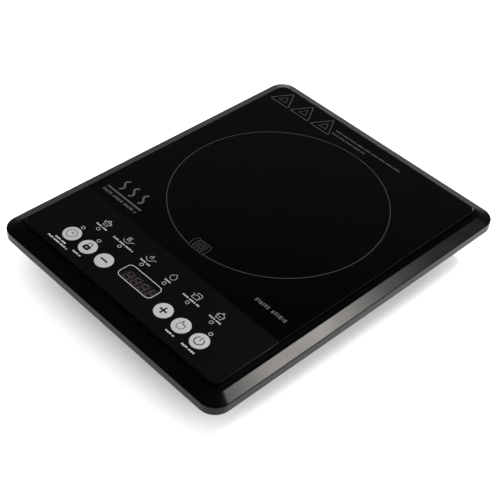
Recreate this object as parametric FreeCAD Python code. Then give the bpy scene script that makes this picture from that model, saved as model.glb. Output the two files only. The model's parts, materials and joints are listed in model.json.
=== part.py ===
"""Portable induction cooktop: a glass cooking plate and a key deck on a sloped frame, over a vented tray.

Millimetres. +Z is up, +X is to the user's right and +Y is to the rear. The origin is on the floor, under the
middle of the outline.
"""
import FreeCAD
import Part
import math
import os

V = FreeCAD.Vector
UP = V(0, 0, 1)
REARWARD = V(0, 1, 0)
SIDES = (-1, 1)

# ---- overall sizes and fits ----------------------------------------------------------------------
WIDTH = 280.0            # side to side, over the lip
DEPTH = 352.0            # front to rear, over the lip
HEIGHT = 58.0            # floor to the top of the glass
GAP = 0.3                # clearance between neighbours that don't touch
SLIP = 0.1               # clearance of a piece that drops into its hole and stays there
PAST = 1.0               # how far a cutting shape runs past the face that it opens
NEARLY = 0.01            # what a slot's end radius falls short of half its width

# ---- top frame -----------------------------------------------------------------------------------
LIP_HEIGHT = 8.6         # the upright band round the outside
LIP_RADIUS = 16.0        # plan radius of the outer corners
BEVEL_WIDTH = 10.4       # the sloped band, seen from above
BEVEL_DROP = 3.8
CREST_RADIUS = 9.0       # plan radius where the slope meets the flat ledge
FRAME_WALL = 2.2
FLANGE_REACH = 27.0      # how far the flange under the glass reaches in from the outside
EDGE_ROUND = 0.9         # rounding of the frame's long edges
BRIDGE_WIDTH = 11.0      # the flange's crossbar, behind the seam between glass and key deck
POST_RADIUS = 4.0        # screw posts under the flange
POST_INSET = 40.0        # post centres, in from the outside
GUSSET_IN = 7.0          # the corner plate that carries a post, inwards and outwards of it
GUSSET_OUT = 14.0

# ---- glass and key deck --------------------------------------------------------------------------
GLASS_THICKNESS = 4.0
GLASS_INSET = 15.5       # from the outside of the lip to the edge of the glass
GLASS_RADIUS = 6.0
GLASS_ARRIS = 0.6        # chamfer round the top of the glass
ADHESIVE = 1.0           # depth of the silicone bed under the glass
ADHESIVE_WIDTH = 9.0
ADHESIVE_INSET = 1.5
SEAM_Y = -91.9           # where the glass ends and the key deck begins
SEAM_GAP = 0.5
DECK_WALL = 2.4
DECK_SILL = 2.0          # from the deck's wall to the opening under the keys
DECK_ROUND = 0.3
OVERLAY = 0.4            # thickness of the printed film on the deck

# ---- keys, lamps and display ---------------------------------------------------------------------
KEY_RADIUS = 8.5
KEY_SPACING = 5.0        # between the rims of neighbouring keys
KEY_PITCH = 2 * KEY_RADIUS + KEY_SPACING
KEY_FIRST = 38.5         # from the middle to the nearest key on each side
KEY_Y = -139.5
KEY_PROUD = 0.45         # how far the rim of a key stands above the film
KEY_DOME = 0.25          # extra rise at its centre
KEY_ROUND = 0.35
KEY_PLAY = 0.2           # between the key's flange and the deck that holds it down
KEY_FLANGE = 1.0         # how much wider the flange is than the key
KEY_FLANGE_THICKNESS = 1.2
KEY_TRAVEL = 0.5
STEM_RADIUS = 2.0
LAMP_RADIUS = 1.3
LAMP_FLANGE = 0.8        # a light pipe's stop under the deck: reach and thickness
KEY_TO_LAMP = 3.5        # from a key's rim to the middle of its own lamp
KEY_LAMP_RISE = KEY_RADIUS + KEY_TO_LAMP
KEYS_WITH_LAMP = (0, 1, 5)
MODE_LAMPS = 6
MODE_LAMP_Y = -118.4
MODE_PITCH = 29.3
WINDOW_X = 40.4          # display window
WINDOW_Y = 15.4
WINDOW_RADIUS = 4.2
WINDOW_CENTRE_Y = -132.5
LENS_LIP = 1.5           # how far its lip reaches under the deck
LENS_LIP_THICKNESS = 1.0

# ---- control board -------------------------------------------------------------------------------
BOARD_THICKNESS = 1.6
BOARD_EDGE = 4.8         # from a board's edge to its screws
CONTROL_BOARD_X = 186.0
CONTROL_BOARD_FRONT = -147.0
CONTROL_BOARD_REAR = -101.0
CONTROL_TOP_DROP = 12.4  # from the glass surface to the top of the control board
CONTROL_BOSS = 3.0
SWITCH_SIDE = 6.2
SWITCH_HEIGHT = 3.5
SWITCH_LID = 0.9
PLUNGER_RADIUS = 1.6
PLUNGER_RISE = 1.6       # above the switch body
PLUNGER_COLLAR = 0.6     # wider than its hole, so that it stays in the switch
PLUNGER_COLLAR_THICKNESS = 0.5
LED_RADIUS = 1.5
LED_HEIGHT = 5.0
LED_BASE = 0.4           # extra radius of its base
LED_BASE_HEIGHT = 1.0
BUZZER = (60.0, -110.0)
BUZZER_RADIUS = 6.0
BUZZER_HOLE = 0.9
BUZZER_HEIGHT = 6.5
CHIP_Y = -108.25
CHIP_X_SIZE = 18.0
CHIP_Y_SIZE = 7.5
CHIP_HEIGHT = 2.4
CHIP_PINS = 14
CHIP_PIN_PITCH = 1.3
CHIP_PIN_WIDTH = 0.5
CHIP_PIN_REACH = 1.6
CHIP_PIN_HEIGHT = 0.6
MODULE_INSET = 0.5       # the display module, smaller than its window all round
RIBBON_X = 33.0
RIBBON_WIDTH = 18.0
RIBBON_THICKNESS = 1.0
RIBBON_EDGE = 4.0        # from each board's edge to the ribbon
RIBBON_RISE = 14.0       # its level run, above the power board

# ---- screws --------------------------------------------------------------------------------------
HOUSING_SCREW = (1.7, 3.4, 2.4, 16.0)     # shank radius, head radius, head height, reach
BOARD_SCREW = (1.3, 2.6, 1.8)             # shank radius, head radius, head height
PILOT = 0.1              # a screw's pilot hole, wider than its shank by this
LOOSE = 0.3              # a screw's clearance hole, wider by this
CONTROL_SCREW_REACH = 6.0
COIL_SCREW_REACH = 9.0
POWER_SCREW_REACH = 5.0
FAN_SCREW_REACH = 4.0
SLOT_WIDTH = 0.7         # the cross in a screw's head
SLOT_REACH = 0.55        # share of the head's radius that it covers

# ---- tray ----------------------------------------------------------------------------------------
TRAY_INSET_TOP = 24.0    # from the lip to the tray's wall, at its top
TRAY_INSET_FLOOR = 30.0  # and at its floor
TRAY_RADIUS = 16.0
TRAY_WALL = 2.2
TRAY_ROUND = 2.0
FOOT_HEIGHT = 5.0
FOOT_RADIUS = 8.0
FOOT_RING = 2.6          # width of the ring that touches the floor
FOOT_RECESS = 0.6
FOOT_EDGE = 0.8
FOOT_STEM = 3.0
FOOT_HEAD = 0.9          # the stem's head, wider than its hole by this
FOOT_HEAD_HEIGHT = 1.8
FOOT_INSET_X = 58.0      # foot centres, in from the outside
FOOT_INSET_Y = 54.0
PILLAR_RADIUS = 5.6
PILLAR_HEIGHT = 24.0     # above the tray's underside
PILLAR_BORE = 4.1        # for the head of the screw
PILLAR_SHELF = 2.5
BOARD_PILLAR = 3.2       # the small pillars under the power board and the fan
VENT_WIDTH = 3.0
VENT_PITCH = 6.5
VENT_MARGIN = 12.0       # from a vent to the tray's underside and to its top
REAR_VENTS = 16
REAR_VENT_START = -38.0
SIDE_VENTS = 12
SIDE_VENT_START = 10.0
INTAKE_INSET = 3.0       # from the fan's duct to the ends of the slots
INTAKE_RIB = 4.0         # the rib across the middle of the grille

# ---- cord inlet ----------------------------------------------------------------------------------
INLET_X = -76.0
INLET_Z = 19.0
INLET_PAD = 22.0         # side of the square pad on the rear wall
INLET_PAD_DEPTH = 6.0
INLET_PROUD = 0.8        # how far the pad stands out of the wall at its top
GLAND_RADIUS = 6.0
GLAND_BORE = 3.7
GLAND_COLLAR = 2.4       # the outer collar: thickness, and reach round the body
GLAND_ROUND = 1.0
GLAND_BARB = 1.4         # reach of the inner collar

# ---- induction coil ------------------------------------------------------------------------------
COIL_Y = 30.2
COIL_INNER = 24.0
WIRE_DIAMETER = 3.2
COIL_TURNS = 20
MICA_THICKNESS = 0.5
MICA_REACH = 2.0         # past the winding
FORMER_THICKNESS = 2.6
FORMER_ARMS = 8
FORMER_ARM = 16.0
FORMER_RIM_OUT = 4.0     # the rim, from outside the winding to inside its edge
FORMER_RIM_IN = 3.0
FORMER_HUB_OUT = 2.0     # the hub, past the winding's inner edge
FORMER_EAR = 6.5
BRIDGE_HALF = 4.0        # half the width of the bridge from the rim to an ear
FERRITE_START = 6.0      # from the winding's inner edge
FERRITE_LENGTH = 52.0
FERRITE_WIDTH = 12.0
FERRITE_THICKNESS = 4.6
POCKET_WALL = 1.6
COIL_POST_REACH = 15.9   # from the winding's edge to the centres of the four posts
COIL_POST_RADIUS = 4.2
SENSOR_CAP_RADIUS = 7.0
SENSOR_CAP_COLLAR = 2.5
SENSOR_CAP_DROP = 3.0
SENSOR_BORE = 2.2
SENSOR_RADIUS = 2.0
SENSOR_BEAD = 5.0
SENSOR_LEG = 0.4
SENSOR_LEG_DROP = 8.0
HUB_CLEAR = 1.0          # between the sensor's sleeve and the former's hub
MICA_CLEAR = 0.5
LEAD_RADIUS = 1.5
ARC_SHARE = 0.45         # how much of a run each end's bend takes up

# ---- power board ---------------------------------------------------------------------------------
POWER_BOARD_LEFT = 3.0
POWER_BOARD_RIGHT = 104.0
POWER_BOARD_FRONT = -35.0
POWER_BOARD_REAR = 98.0
POWER_STANDOFF = 5.0
SINK_X = (10.0, 62.0)
SINK_Y = (2.0, 66.0)
SINK_BASE = 4.0
SINK_FIN_HEIGHT = 12.0
SINK_FINS = 12
SINK_FIN_THICKNESS = 1.4
SINK_FOOT = 3.0
DEVICE_THICKNESS = 5.0   # the transistor and the rectifier, under the sink's base
DEVICE_PIN = 1.2
DEVICE_PIN_THICKNESS = 0.8
DEVICE_PIN_REACH = 4.0
DEVICE_PIN_DROP = 3.0
IGBT = (18.0, 12.0, 16.0, 20.0, 3)        # corner x and y, width, length, legs
RECTIFIER = (38.0, 38.0, 18.0, 16.0, 4)
RESONANT_CAPACITOR = (84.0, 44.0, 22.0, 32.0, 20.0)     # centre x and y, width, length, height
MAINS_CAPACITOR = (50.0, 84.0, 26.0, 12.0, 18.0)
SMOOTHING_CAPACITOR = (30.0, 84.0, 11.0, 22.0, 16.0)
BOX_RADIUS = 1.2
BOX_ROUND = 0.8
CANS = ((19.0, -24.0, 5.0, 14.0), (17.0, -8.0, 4.0, 12.0), (10.0, 78.0, 5.0, 16.0))   # x, y, radius, height
CAN_ROUND = 0.6
CAN_SCORE = 0.4
CHOKE = (78.0, -20.0)
CHOKE_RADIUS = 9.5       # of the ring's centre line
CHOKE_HALF = 2.9         # half the width of its core
CHOKE_HEIGHT = 8.4
CHOKE_WIRE = 1.2
CHOKE_TURNS = 7          # on each half
CHOKE_STEP = 16.0        # degrees between turns
TRANSFORMER = (48.0, -20.0)
TRANSFORMER_CORE = (9.0, 8.0, 3.0, 15.0)  # half width, half length, lowest and highest, above the board
TRANSFORMER_BASE = (8.0, 10.0, 0.0, 4.0)
TRANSFORMER_DRUM = (6.0, 10.0, 5.0, 13.0)
FUSE_X = 96.0
FUSE_Y = (62.0, 82.0)
FUSE_RADIUS = 2.4
FUSE_CAP = 5.0
FUSE_RISE = 4.0          # of its centre line, above the board
FUSE_CLIP = 3.0
TERMINAL_X = (74.0, 98.0)
TERMINAL_Y = (83.0, 88.0)
TERMINAL_HEIGHT = 11.0
TERMINALS = 3
TERMINAL_PITCH = 7.0
TERMINAL_WELL = 1.8
TERMINAL_DEPTH = 4.0

# ---- fan -----------------------------------------------------------------------------------------
FAN_X = -52.0
FAN_Y = 32.0
FAN_SIDE = 92.0
FAN_CORNER = 5.0
FAN_HEIGHT = 15.0
FAN_PLATE = 3.0
FAN_RIM = 3.0            # from the side of the fan to its duct
FAN_WALL = 2.0
FAN_STANDOFF = 2.0
FAN_HOLE_EDGE = 4.75
STRUTS = 4
STRUT_WIDTH = 4.0
STRUT_HEIGHT = 2.4
HUB_RADIUS = 17.0
HUB_FLOOR = 1.8
HUB_WALL = 1.5
HUB_ROUND = 1.2
TIP_GAP = 1.0            # between the blades and the duct
BLADES = 7
BLADE_CHORD = 15.0
BLADE_THICKNESS = 1.6
BLADE_PITCH = 38.0       # degrees
SHAFT_RADIUS = 1.5
SHAFT_FIT = 0.03         # radial running clearance of the shaft in its bearing
BEARING_RADIUS = 3.0
BEARING_WALL = 1.5       # of the tube that holds the bearing
BEARING_TOP = 11.0       # above the underside of the fan
BEARING_BOTTOM = 2.5
MAGNET_THICKNESS = 1.6
MAGNET_DROP = 2.0        # from the top of the cup
STATOR_RADIUS = 13.0
STATOR_SHOE = 1.8
STATOR_SPAN = (5.0, 10.0)                 # lowest and highest of its coils, above the underside of the fan
STATOR_ARMS = 4
STATOR_ARM = 3.2
STATOR_COIL = 5.2
STATOR_BOARD = 12.0
STATOR_BOARD_THICKNESS = 1.4
CUP_RISE = 4.2           # underside of the rotor's cup above the underside of the fan
CUP_DROP = 0.6           # top of the cup below the top of the fan

# ---- levels that follow ---------------------------------------------------------------------------
GLASS_BOTTOM = HEIGHT - GLASS_THICKNESS
LEDGE = GLASS_BOTTOM - ADHESIVE              # flat top of the frame
FLANGE_BOTTOM = LEDGE - FRAME_WALL
LIP_TOP = LEDGE - BEVEL_DROP
LIP_BOTTOM = LIP_TOP - LIP_HEIGHT
DECK_TOP = HEIGHT - OVERLAY
DECK_UNDER = DECK_TOP - DECK_WALL
LENS_UNDER = DECK_UNDER - LENS_LIP_THICKNESS
CONTROL_TOP = HEIGHT - CONTROL_TOP_DROP
CONTROL_UNDER = CONTROL_TOP - BOARD_THICKNESS
SWITCH_TOP = CONTROL_TOP + SWITCH_HEIGHT
PLUNGER_TOP = SWITCH_TOP + PLUNGER_RISE
FLOOR = FOOT_HEIGHT + TRAY_WALL              # inside of the tray
PILLAR_TOP = FOOT_HEIGHT + PILLAR_HEIGHT
POWER_TOP = FLOOR + POWER_STANDOFF + BOARD_THICKNESS
SINK_UNDER = POWER_TOP + DEVICE_THICKNESS + GAP
MICA_TOP = GLASS_BOTTOM - GAP
WINDING_TOP = MICA_TOP - MICA_THICKNESS
FORMER_TOP = WINDING_TOP - WIRE_DIAMETER
FORMER_UNDER = FORMER_TOP - FORMER_THICKNESS
FERRITE_UNDER = FORMER_UNDER - FERRITE_THICKNESS
FAN_Z = FLOOR + FAN_STANDOFF
CUP_UNDER = FAN_Z + CUP_RISE
CUP_TOP = FAN_Z + FAN_HEIGHT - CUP_DROP

# ---- places that follow ---------------------------------------------------------------------------
HALF_W = WIDTH / 2
HALF_D = DEPTH / 2
GLASS_X = HALF_W - GLASS_INSET
GLASS_Y = HALF_D - GLASS_INSET
COIL_OUTER = COIL_INNER + WIRE_DIAMETER * COIL_TURNS
COIL_POST = (COIL_OUTER + COIL_POST_REACH) * math.sqrt(0.5)
FAN_DUCT = FAN_SIDE / 2 - FAN_RIM
FAN_HOLES = FAN_SIDE / 2 - FAN_HOLE_EDGE
BEARING_TUBE = BEARING_RADIUS + BEARING_WALL
KEY_NAMES = ("timer", "lock", "minus", "plus", "menu", "power")
KEY_ROW = [KEY_FIRST + i * KEY_PITCH for i in range(3)]
KEYS_X = [-x for x in reversed(KEY_ROW)] + KEY_ROW
LAMPS = [((i - (MODE_LAMPS - 1) / 2) * MODE_PITCH, MODE_LAMP_Y) for i in range(MODE_LAMPS)]
LAMPS += [(KEYS_X[i], KEY_Y + KEY_LAMP_RISE) for i in KEYS_WITH_LAMP]
BOSS_FRONT_X = (KEY_FIRST - KEY_RADIUS - KEY_FLANGE + WINDOW_X / 2 + LENS_LIP) / 2   # between key and display
CONTROL_SCREWS = [(side * BOSS_FRONT_X, CONTROL_BOARD_FRONT + BOARD_EDGE) for side in SIDES]
CONTROL_SCREWS += [(side * (CONTROL_BOARD_X / 2 - BOARD_EDGE), CONTROL_BOARD_REAR - BOARD_EDGE)
                   for side in SIDES]
COIL_LEADS = ((COIL_INNER + LEAD_RADIUS, 74.0, 25.0), (COIL_OUTER - LEAD_RADIUS, 100.0, 12.0))   # reach, x, y


def corners(x, y, cx=0.0, cy=0.0):
    """The four corners of a rectangle of half sizes x and y."""
    return [(cx + sx * x, cy + sy * y) for sx in SIDES for sy in SIDES]


FRAME_POSTS = corners(HALF_W - POST_INSET, HALF_D - POST_INSET)
FEET = corners(HALF_W - FOOT_INSET_X, HALF_D - FOOT_INSET_Y)
COIL_POSTS = corners(COIL_POST, COIL_POST, 0.0, COIL_Y)
FAN_CORNERS = corners(FAN_HOLES, FAN_HOLES, FAN_X, FAN_Y)
POWER_SCREWS = corners((POWER_BOARD_RIGHT - POWER_BOARD_LEFT) / 2 - BOARD_EDGE,
                       (POWER_BOARD_REAR - POWER_BOARD_FRONT) / 2 - BOARD_EDGE,
                       (POWER_BOARD_RIGHT + POWER_BOARD_LEFT) / 2, (POWER_BOARD_REAR + POWER_BOARD_FRONT) / 2)


# ---- shape helpers -------------------------------------------------------------------------------
def rounded_wire(hx, hy, r, z, cx=0.0, cy=0.0):
    """A rectangle of half sizes hx and hy with round corners, at height z."""
    def on_corner(index, degrees):
        sx, sy = ((1, 1), (-1, 1), (-1, -1), (1, -1))[index % 4]
        a = math.radians(degrees)
        return V(cx + sx * (hx - r) + r * math.cos(a), cy + sy * (hy - r) + r * math.sin(a), z)

    edges = []
    for i in range(4):
        start, middle, end = (on_corner(i, 90 * i + turn) for turn in (0, 45, 90))
        edges.append(Part.Arc(start, middle, end).toShape())
        edges.append(Part.LineSegment(end, on_corner(i + 1, 90 * (i + 1))).toShape())
    return Part.Wire(edges)


def slab(hx, hy, r, z0, z1, cx=0.0, cy=0.0):
    """An upright prism on a rounded rectangle."""
    return Part.Face(rounded_wire(hx, hy, r, z0, cx, cy)).extrude(V(0, 0, z1 - z0))


def loft(*wires):
    return Part.makeLoft(list(wires), True, True)


def box(xa, xb, ya, yb, za, zb):
    """A box between two opposite corners, given in either order."""
    low = V(min(xa, xb), min(ya, yb), min(za, zb))
    return Part.makeBox(abs(xb - xa), abs(yb - ya), abs(zb - za), low)


def rod(x, y, r, z0, z1):
    return Part.makeCylinder(r, z1 - z0, V(x, y, z0))


def level_rod(r, length, x, y, z):
    """A cylinder that runs rearwards from x, y, z."""
    return Part.makeCylinder(r, length, V(x, y, z), REARWARD)


def tube(x, y, outer, inner, z0, z1):
    return rod(x, y, outer, z0, z1).cut(rod(x, y, inner, z0, z1))


def fused(shapes):
    """One solid from pieces that overlap or touch."""
    return shapes[0].multiFuse(shapes[1:]).removeSplitter()


def group(shapes):
    return Part.makeCompound(shapes)


def turned(points, x, y):
    """A solid of revolution about an upright axis, from (radius, height) points."""
    profile = Part.makePolygon([V(r, 0, z) for r, z in points + points[:1]])
    solid = Part.Face(profile).revolve(V(0, 0, 0), UP, 360)
    solid.translate(V(x, y, 0))
    return solid


def spun(shape, degrees, x, y):
    """A copy of a shape made about the origin, turned and carried to x, y."""
    copy = shape.copy()
    copy.rotate(V(0, 0, 0), UP, degrees)
    copy.translate(V(x, y, 0))
    return copy


def loops_at(shape, z):
    """The edges that lie wholly at height z."""
    near = 0.01
    return [e for e in shape.Edges if abs(e.BoundBox.ZMin - z) < near and abs(e.BoundBox.ZMax - z) < near]


def swept(points, section):
    """A section carried along straight runs joined by tangent arcs, as large as the shorter run allows."""
    edges = []
    last = points[0]
    for before, corner, after in zip(points, points[1:], points[2:]):
        into = corner - before
        out = after - corner
        turn = into.getAngle(out)
        cut = ARC_SHARE * min(into.Length, out.Length)
        a = corner - into * (cut / into.Length)
        b = corner + out * (cut / out.Length)
        inwards = out * (1 / out.Length) - into * (1 / into.Length)
        inwards.normalize()
        r = cut / math.tan(turn / 2)
        edges.append(Part.LineSegment(last, a).toShape())
        edges.append(Part.Arc(a, corner + inwards * (r / math.cos(turn / 2) - r), b).toShape())
        last = b
    edges.append(Part.LineSegment(last, points[-1]).toShape())
    return Part.Wire(edges).makePipeShell([section], True, False)


def screw(x, y, seat, sizes, reach, down=False):
    """A pan-head screw whose head bears on height seat, driven upwards, or downwards where down is true."""
    shank, head, height = sizes
    pan = turned([(0, 0), (head, 0), (head, -height * 0.6), (head * 0.7, -height), (0, -height)], x, y)
    arm = head * SLOT_REACH
    slot = SLOT_WIDTH / 2
    cross = [box(x - a, x + a, y - b, y + b, -height, -height / 2) for a, b in ((arm, slot), (slot, arm))]
    tip = Part.makeCone(shank, shank * 0.4, shank, V(x, y, reach))
    solid = fused([pan, rod(x, y, shank, 0, reach), tip]).cut(group(cross))
    if down:
        solid.rotate(V(x, y, 0), V(1, 0, 0), 180)
    solid.translate(V(0, 0, seat))
    return solid


def screw_clearance(places, z0, z1):
    """The holes that small screws pass through."""
    return group([rod(x, y, BOARD_SCREW[0] + LOOSE, z0 - PAST, z1 + PAST) for x, y in places])


# ---- the top: frame, glass, film -----------------------------------------------------------------
def raised_outline(inset, z0, z1):
    """The raised outline that the glass and the key deck share."""
    return slab(GLASS_X - inset, GLASS_Y - inset, max(GLASS_RADIUS - inset, 1.0), z0, z1)


def ahead_of(shape, y):
    """What lies in front of y."""
    return shape.common(box(-HALF_W, HALF_W, -HALF_D, y, 0, 2 * HEIGHT))


def behind(shape, y):
    return shape.common(box(-HALF_W, HALF_W, y, HALF_D, 0, 2 * HEIGHT))


def frame_skin():
    """The outside of the frame: an upright lip, then a slope up to the flat ledge."""
    crest = rounded_wire(HALF_W - BEVEL_WIDTH, HALF_D - BEVEL_WIDTH, CREST_RADIUS, LEDGE)
    lip = slab(HALF_W, HALF_D, LIP_RADIUS, LIP_BOTTOM, LIP_TOP)
    skin = lip.fuse(loft(rounded_wire(HALF_W, HALF_D, LIP_RADIUS, LIP_TOP), crest)).removeSplitter()
    skin = skin.makeFillet(EDGE_ROUND, loops_at(skin, LIP_TOP) + loops_at(skin, LEDGE))
    return skin.makeFillet(EDGE_ROUND / 2, loops_at(skin, LIP_BOTTOM))


def frame_hollow():
    """The space under the frame, one wall in from its skin on every face."""
    slope = math.atan2(BEVEL_DROP, BEVEL_WIDTH)
    drop = FRAME_WALL / math.cos(slope) - FRAME_WALL * math.tan(slope)
    run = (FRAME_WALL / math.cos(slope) - FRAME_WALL) / math.tan(slope)
    x, y, r = HALF_W - FRAME_WALL, HALF_D - FRAME_WALL, LIP_RADIUS - FRAME_WALL
    crest = rounded_wire(HALF_W - BEVEL_WIDTH - run, HALF_D - BEVEL_WIDTH - run, CREST_RADIUS, FLANGE_BOTTOM)
    side = slab(x, y, r, LIP_BOTTOM - PAST, LIP_TOP - drop)
    return side.fuse(loft(rounded_wire(x, y, r, LIP_TOP - drop), crest))


def lens_shape(extra, z0, z1):
    """The display window's outline, larger all round by extra."""
    return slab(WINDOW_X / 2 + extra, WINDOW_Y / 2 + extra, WINDOW_RADIUS + extra, z0, z1, 0, WINDOW_CENTRE_Y)


def deck_holes(z0, z1):
    """Holes for the keys and the display, through the deck or its film."""
    holes = [rod(x, KEY_Y, KEY_RADIUS + GAP, z0, z1) for x in KEYS_X]
    return holes + [lens_shape(SLIP, z0, z1)]


def make_top_frame():
    frame = frame_skin().cut(frame_hollow())
    frame = frame.fuse(ahead_of(raised_outline(0, FLANGE_BOTTOM, DECK_TOP), SEAM_Y))
    frame = frame.cut(ahead_of(raised_outline(DECK_WALL, LEDGE, DECK_UNDER), SEAM_Y - DECK_WALL))
    opening = slab(HALF_W - FLANGE_REACH, HALF_D - FLANGE_REACH, TRAY_RADIUS, FLANGE_BOTTOM - PAST, LEDGE)
    frame = frame.cut(behind(opening, SEAM_Y + BRIDGE_WIDTH))
    frame = frame.cut(ahead_of(opening, SEAM_Y - DECK_WALL - DECK_SILL))
    solids = [frame]
    for x, y in FRAME_POSTS:
        sx = math.copysign(1, x)
        sy = math.copysign(1, y)
        solids.append(box(x - sx * GUSSET_IN, x + sx * GUSSET_OUT, y - sy * GUSSET_IN, y + sy * GUSSET_OUT,
                          FLANGE_BOTTOM, LEDGE))
        solids.append(rod(x, y, POST_RADIUS, PILLAR_TOP, LEDGE))
    solids += [rod(x, y, CONTROL_BOSS, CONTROL_TOP, DECK_UNDER + DECK_WALL / 2) for x, y in CONTROL_SCREWS]
    frame = fused(solids)
    reach = PILLAR_TOP + HOUSING_SCREW[3]
    top = DECK_TOP + PAST
    holes = [rod(x, y, HOUSING_SCREW[0] + PILOT, PILLAR_TOP - PAST, reach) for x, y in FRAME_POSTS]
    pilot = BOARD_SCREW[0] + PILOT
    holes += [rod(x, y, pilot, CONTROL_TOP - PAST, DECK_UNDER - PAST) for x, y in CONTROL_SCREWS]
    holes += [rod(x, y, LAMP_RADIUS + SLIP, DECK_UNDER - PAST, top) for x, y in LAMPS]
    frame = frame.cut(group(holes + deck_holes(DECK_UNDER - PAST, top)))
    side = GLASS_X - GLASS_RADIUS - SLIP
    rim = [e for e in loops_at(frame, DECK_TOP) if max(abs(e.BoundBox.XMax), abs(e.BoundBox.XMin)) > side]
    return frame.makeFillet(DECK_ROUND, [e for e in rim if e.BoundBox.YMin < SEAM_Y - PAST])


def make_glass_plate():
    plate = behind(raised_outline(0, GLASS_BOTTOM, HEIGHT), SEAM_Y + SEAM_GAP)
    return plate.makeChamfer(GLASS_ARRIS, loops_at(plate, HEIGHT))


def make_glass_adhesive():
    ring = behind(raised_outline(ADHESIVE_INSET, LEDGE, GLASS_BOTTOM), SEAM_Y + SEAM_GAP + ADHESIVE_INSET)
    inner = raised_outline(ADHESIVE_INSET + ADHESIVE_WIDTH, LEDGE - PAST, GLASS_BOTTOM + PAST)
    return ring.cut(behind(inner, SEAM_Y + ADHESIVE_WIDTH))


def make_control_overlay():
    film = ahead_of(raised_outline(DECK_ROUND, DECK_TOP, HEIGHT), SEAM_Y - SLIP)
    return film.cut(group(deck_holes(DECK_TOP - PAST, HEIGHT + PAST)))


def make_display_lens():
    return fused([lens_shape(0, DECK_UNDER, HEIGHT), lens_shape(LENS_LIP, LENS_UNDER, DECK_UNDER)])


# ---- keys and the control board ------------------------------------------------------------------
def make_key(x):
    """A low round key: a domed cap through the deck, a flange below it and a stem to its switch."""
    rim = HEIGHT + KEY_PROUD
    flange_top = DECK_UNDER - KEY_PLAY
    flange_under = flange_top - KEY_FLANGE_THICKNESS
    cap = rod(0, 0, KEY_RADIUS, flange_top, rim)
    cap = cap.makeFillet(KEY_ROUND, loops_at(cap, rim))
    reach = KEY_RADIUS - KEY_ROUND
    ball = (reach ** 2 + KEY_DOME ** 2) / (2 * KEY_DOME)
    dome = Part.makeSphere(ball, V(0, 0, rim + KEY_DOME - ball))
    dome = dome.common(rod(0, 0, reach, rim - SLIP, rim + PAST))
    flange = rod(0, 0, KEY_RADIUS + KEY_FLANGE, flange_under, flange_top)
    key = fused([cap, dome, flange, rod(0, 0, STEM_RADIUS, PLUNGER_TOP, flange_under)])
    key.translate(V(x, KEY_Y, 0))
    return key


def plunger_foot():
    return SWITCH_TOP - SWITCH_LID - PLUNGER_COLLAR_THICKNESS


def make_plunger(x):
    """The moving button of a switch, with a collar that keeps it under the switch's lid."""
    foot = plunger_foot()
    collar = rod(x, KEY_Y, PLUNGER_RADIUS + PLUNGER_COLLAR, foot, foot + PLUNGER_COLLAR_THICKNESS)
    return fused([rod(x, KEY_Y, PLUNGER_RADIUS, foot, PLUNGER_TOP), collar])


def make_switch_bodies():
    half = SWITCH_SIDE / 2
    well_foot = plunger_foot() - KEY_TRAVEL - SLIP
    bodies = []
    for x in KEYS_X:
        can = box(x - half, x + half, KEY_Y - half, KEY_Y + half, CONTROL_TOP, SWITCH_TOP)
        well = rod(x, KEY_Y, PLUNGER_RADIUS + PLUNGER_COLLAR + GAP, well_foot, SWITCH_TOP - SWITCH_LID + SLIP)
        mouth = rod(x, KEY_Y, PLUNGER_RADIUS + GAP, SWITCH_TOP - SWITCH_LID, SWITCH_TOP + PAST)
        bodies.append(can.cut(well).cut(mouth))
    return group(bodies)


def make_control_board():
    half = CONTROL_BOARD_X / 2
    board = box(-half, half, CONTROL_BOARD_FRONT, CONTROL_BOARD_REAR, CONTROL_UNDER, CONTROL_TOP)
    return board.cut(screw_clearance(CONTROL_SCREWS, CONTROL_UNDER, CONTROL_TOP))


def make_control_board_screws():
    return group([screw(x, y, CONTROL_UNDER, BOARD_SCREW, CONTROL_SCREW_REACH) for x, y in CONTROL_SCREWS])


def make_indicator_leds():
    """Upright lamps with round tops, on the control board."""
    top = CONTROL_TOP + LED_HEIGHT
    lamps = []
    for x, y in LAMPS:
        body = rod(x, y, LED_RADIUS, CONTROL_TOP, top - LED_RADIUS)
        dome = Part.makeSphere(LED_RADIUS, V(x, y, top - LED_RADIUS), UP, 0, 90)
        base = rod(x, y, LED_RADIUS + LED_BASE, CONTROL_TOP, CONTROL_TOP + LED_BASE_HEIGHT)
        lamps.append(fused([base, body, dome]))
    return group(lamps)


def make_light_pipes():
    """Clear pegs, one over each lamp, that carry its light to the film."""
    foot = CONTROL_TOP + LED_HEIGHT + GAP
    pipes = []
    for x, y in LAMPS:
        stop = rod(x, y, LAMP_RADIUS + LAMP_FLANGE, DECK_UNDER - LAMP_FLANGE, DECK_UNDER)
        pipes.append(fused([rod(x, y, LAMP_RADIUS, foot, DECK_TOP), stop]))
    return group(pipes)


def make_display_module():
    return lens_shape(-MODULE_INSET, CONTROL_TOP, LENS_UNDER - GAP)


def make_buzzer():
    x, y = BUZZER
    return tube(x, y, BUZZER_RADIUS, BUZZER_HOLE, CONTROL_TOP, CONTROL_TOP + BUZZER_HEIGHT)


def make_microcontroller():
    """A flat package on two rows of pins."""
    x = CHIP_X_SIZE / 2
    y = CHIP_Y_SIZE / 2
    stand = SLIP
    parts = [box(-x, x, CHIP_Y - y, CHIP_Y + y, CONTROL_TOP + stand, CONTROL_TOP + stand + CHIP_HEIGHT)]
    for i in range(CHIP_PINS):
        pin = (i - (CHIP_PINS - 1) / 2) * CHIP_PIN_PITCH
        reach = y + CHIP_PIN_REACH
        parts.append(box(pin - CHIP_PIN_WIDTH / 2, pin + CHIP_PIN_WIDTH / 2, CHIP_Y - reach, CHIP_Y + reach,
                         CONTROL_TOP, CONTROL_TOP + CHIP_PIN_HEIGHT))
    return fused(parts)


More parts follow.
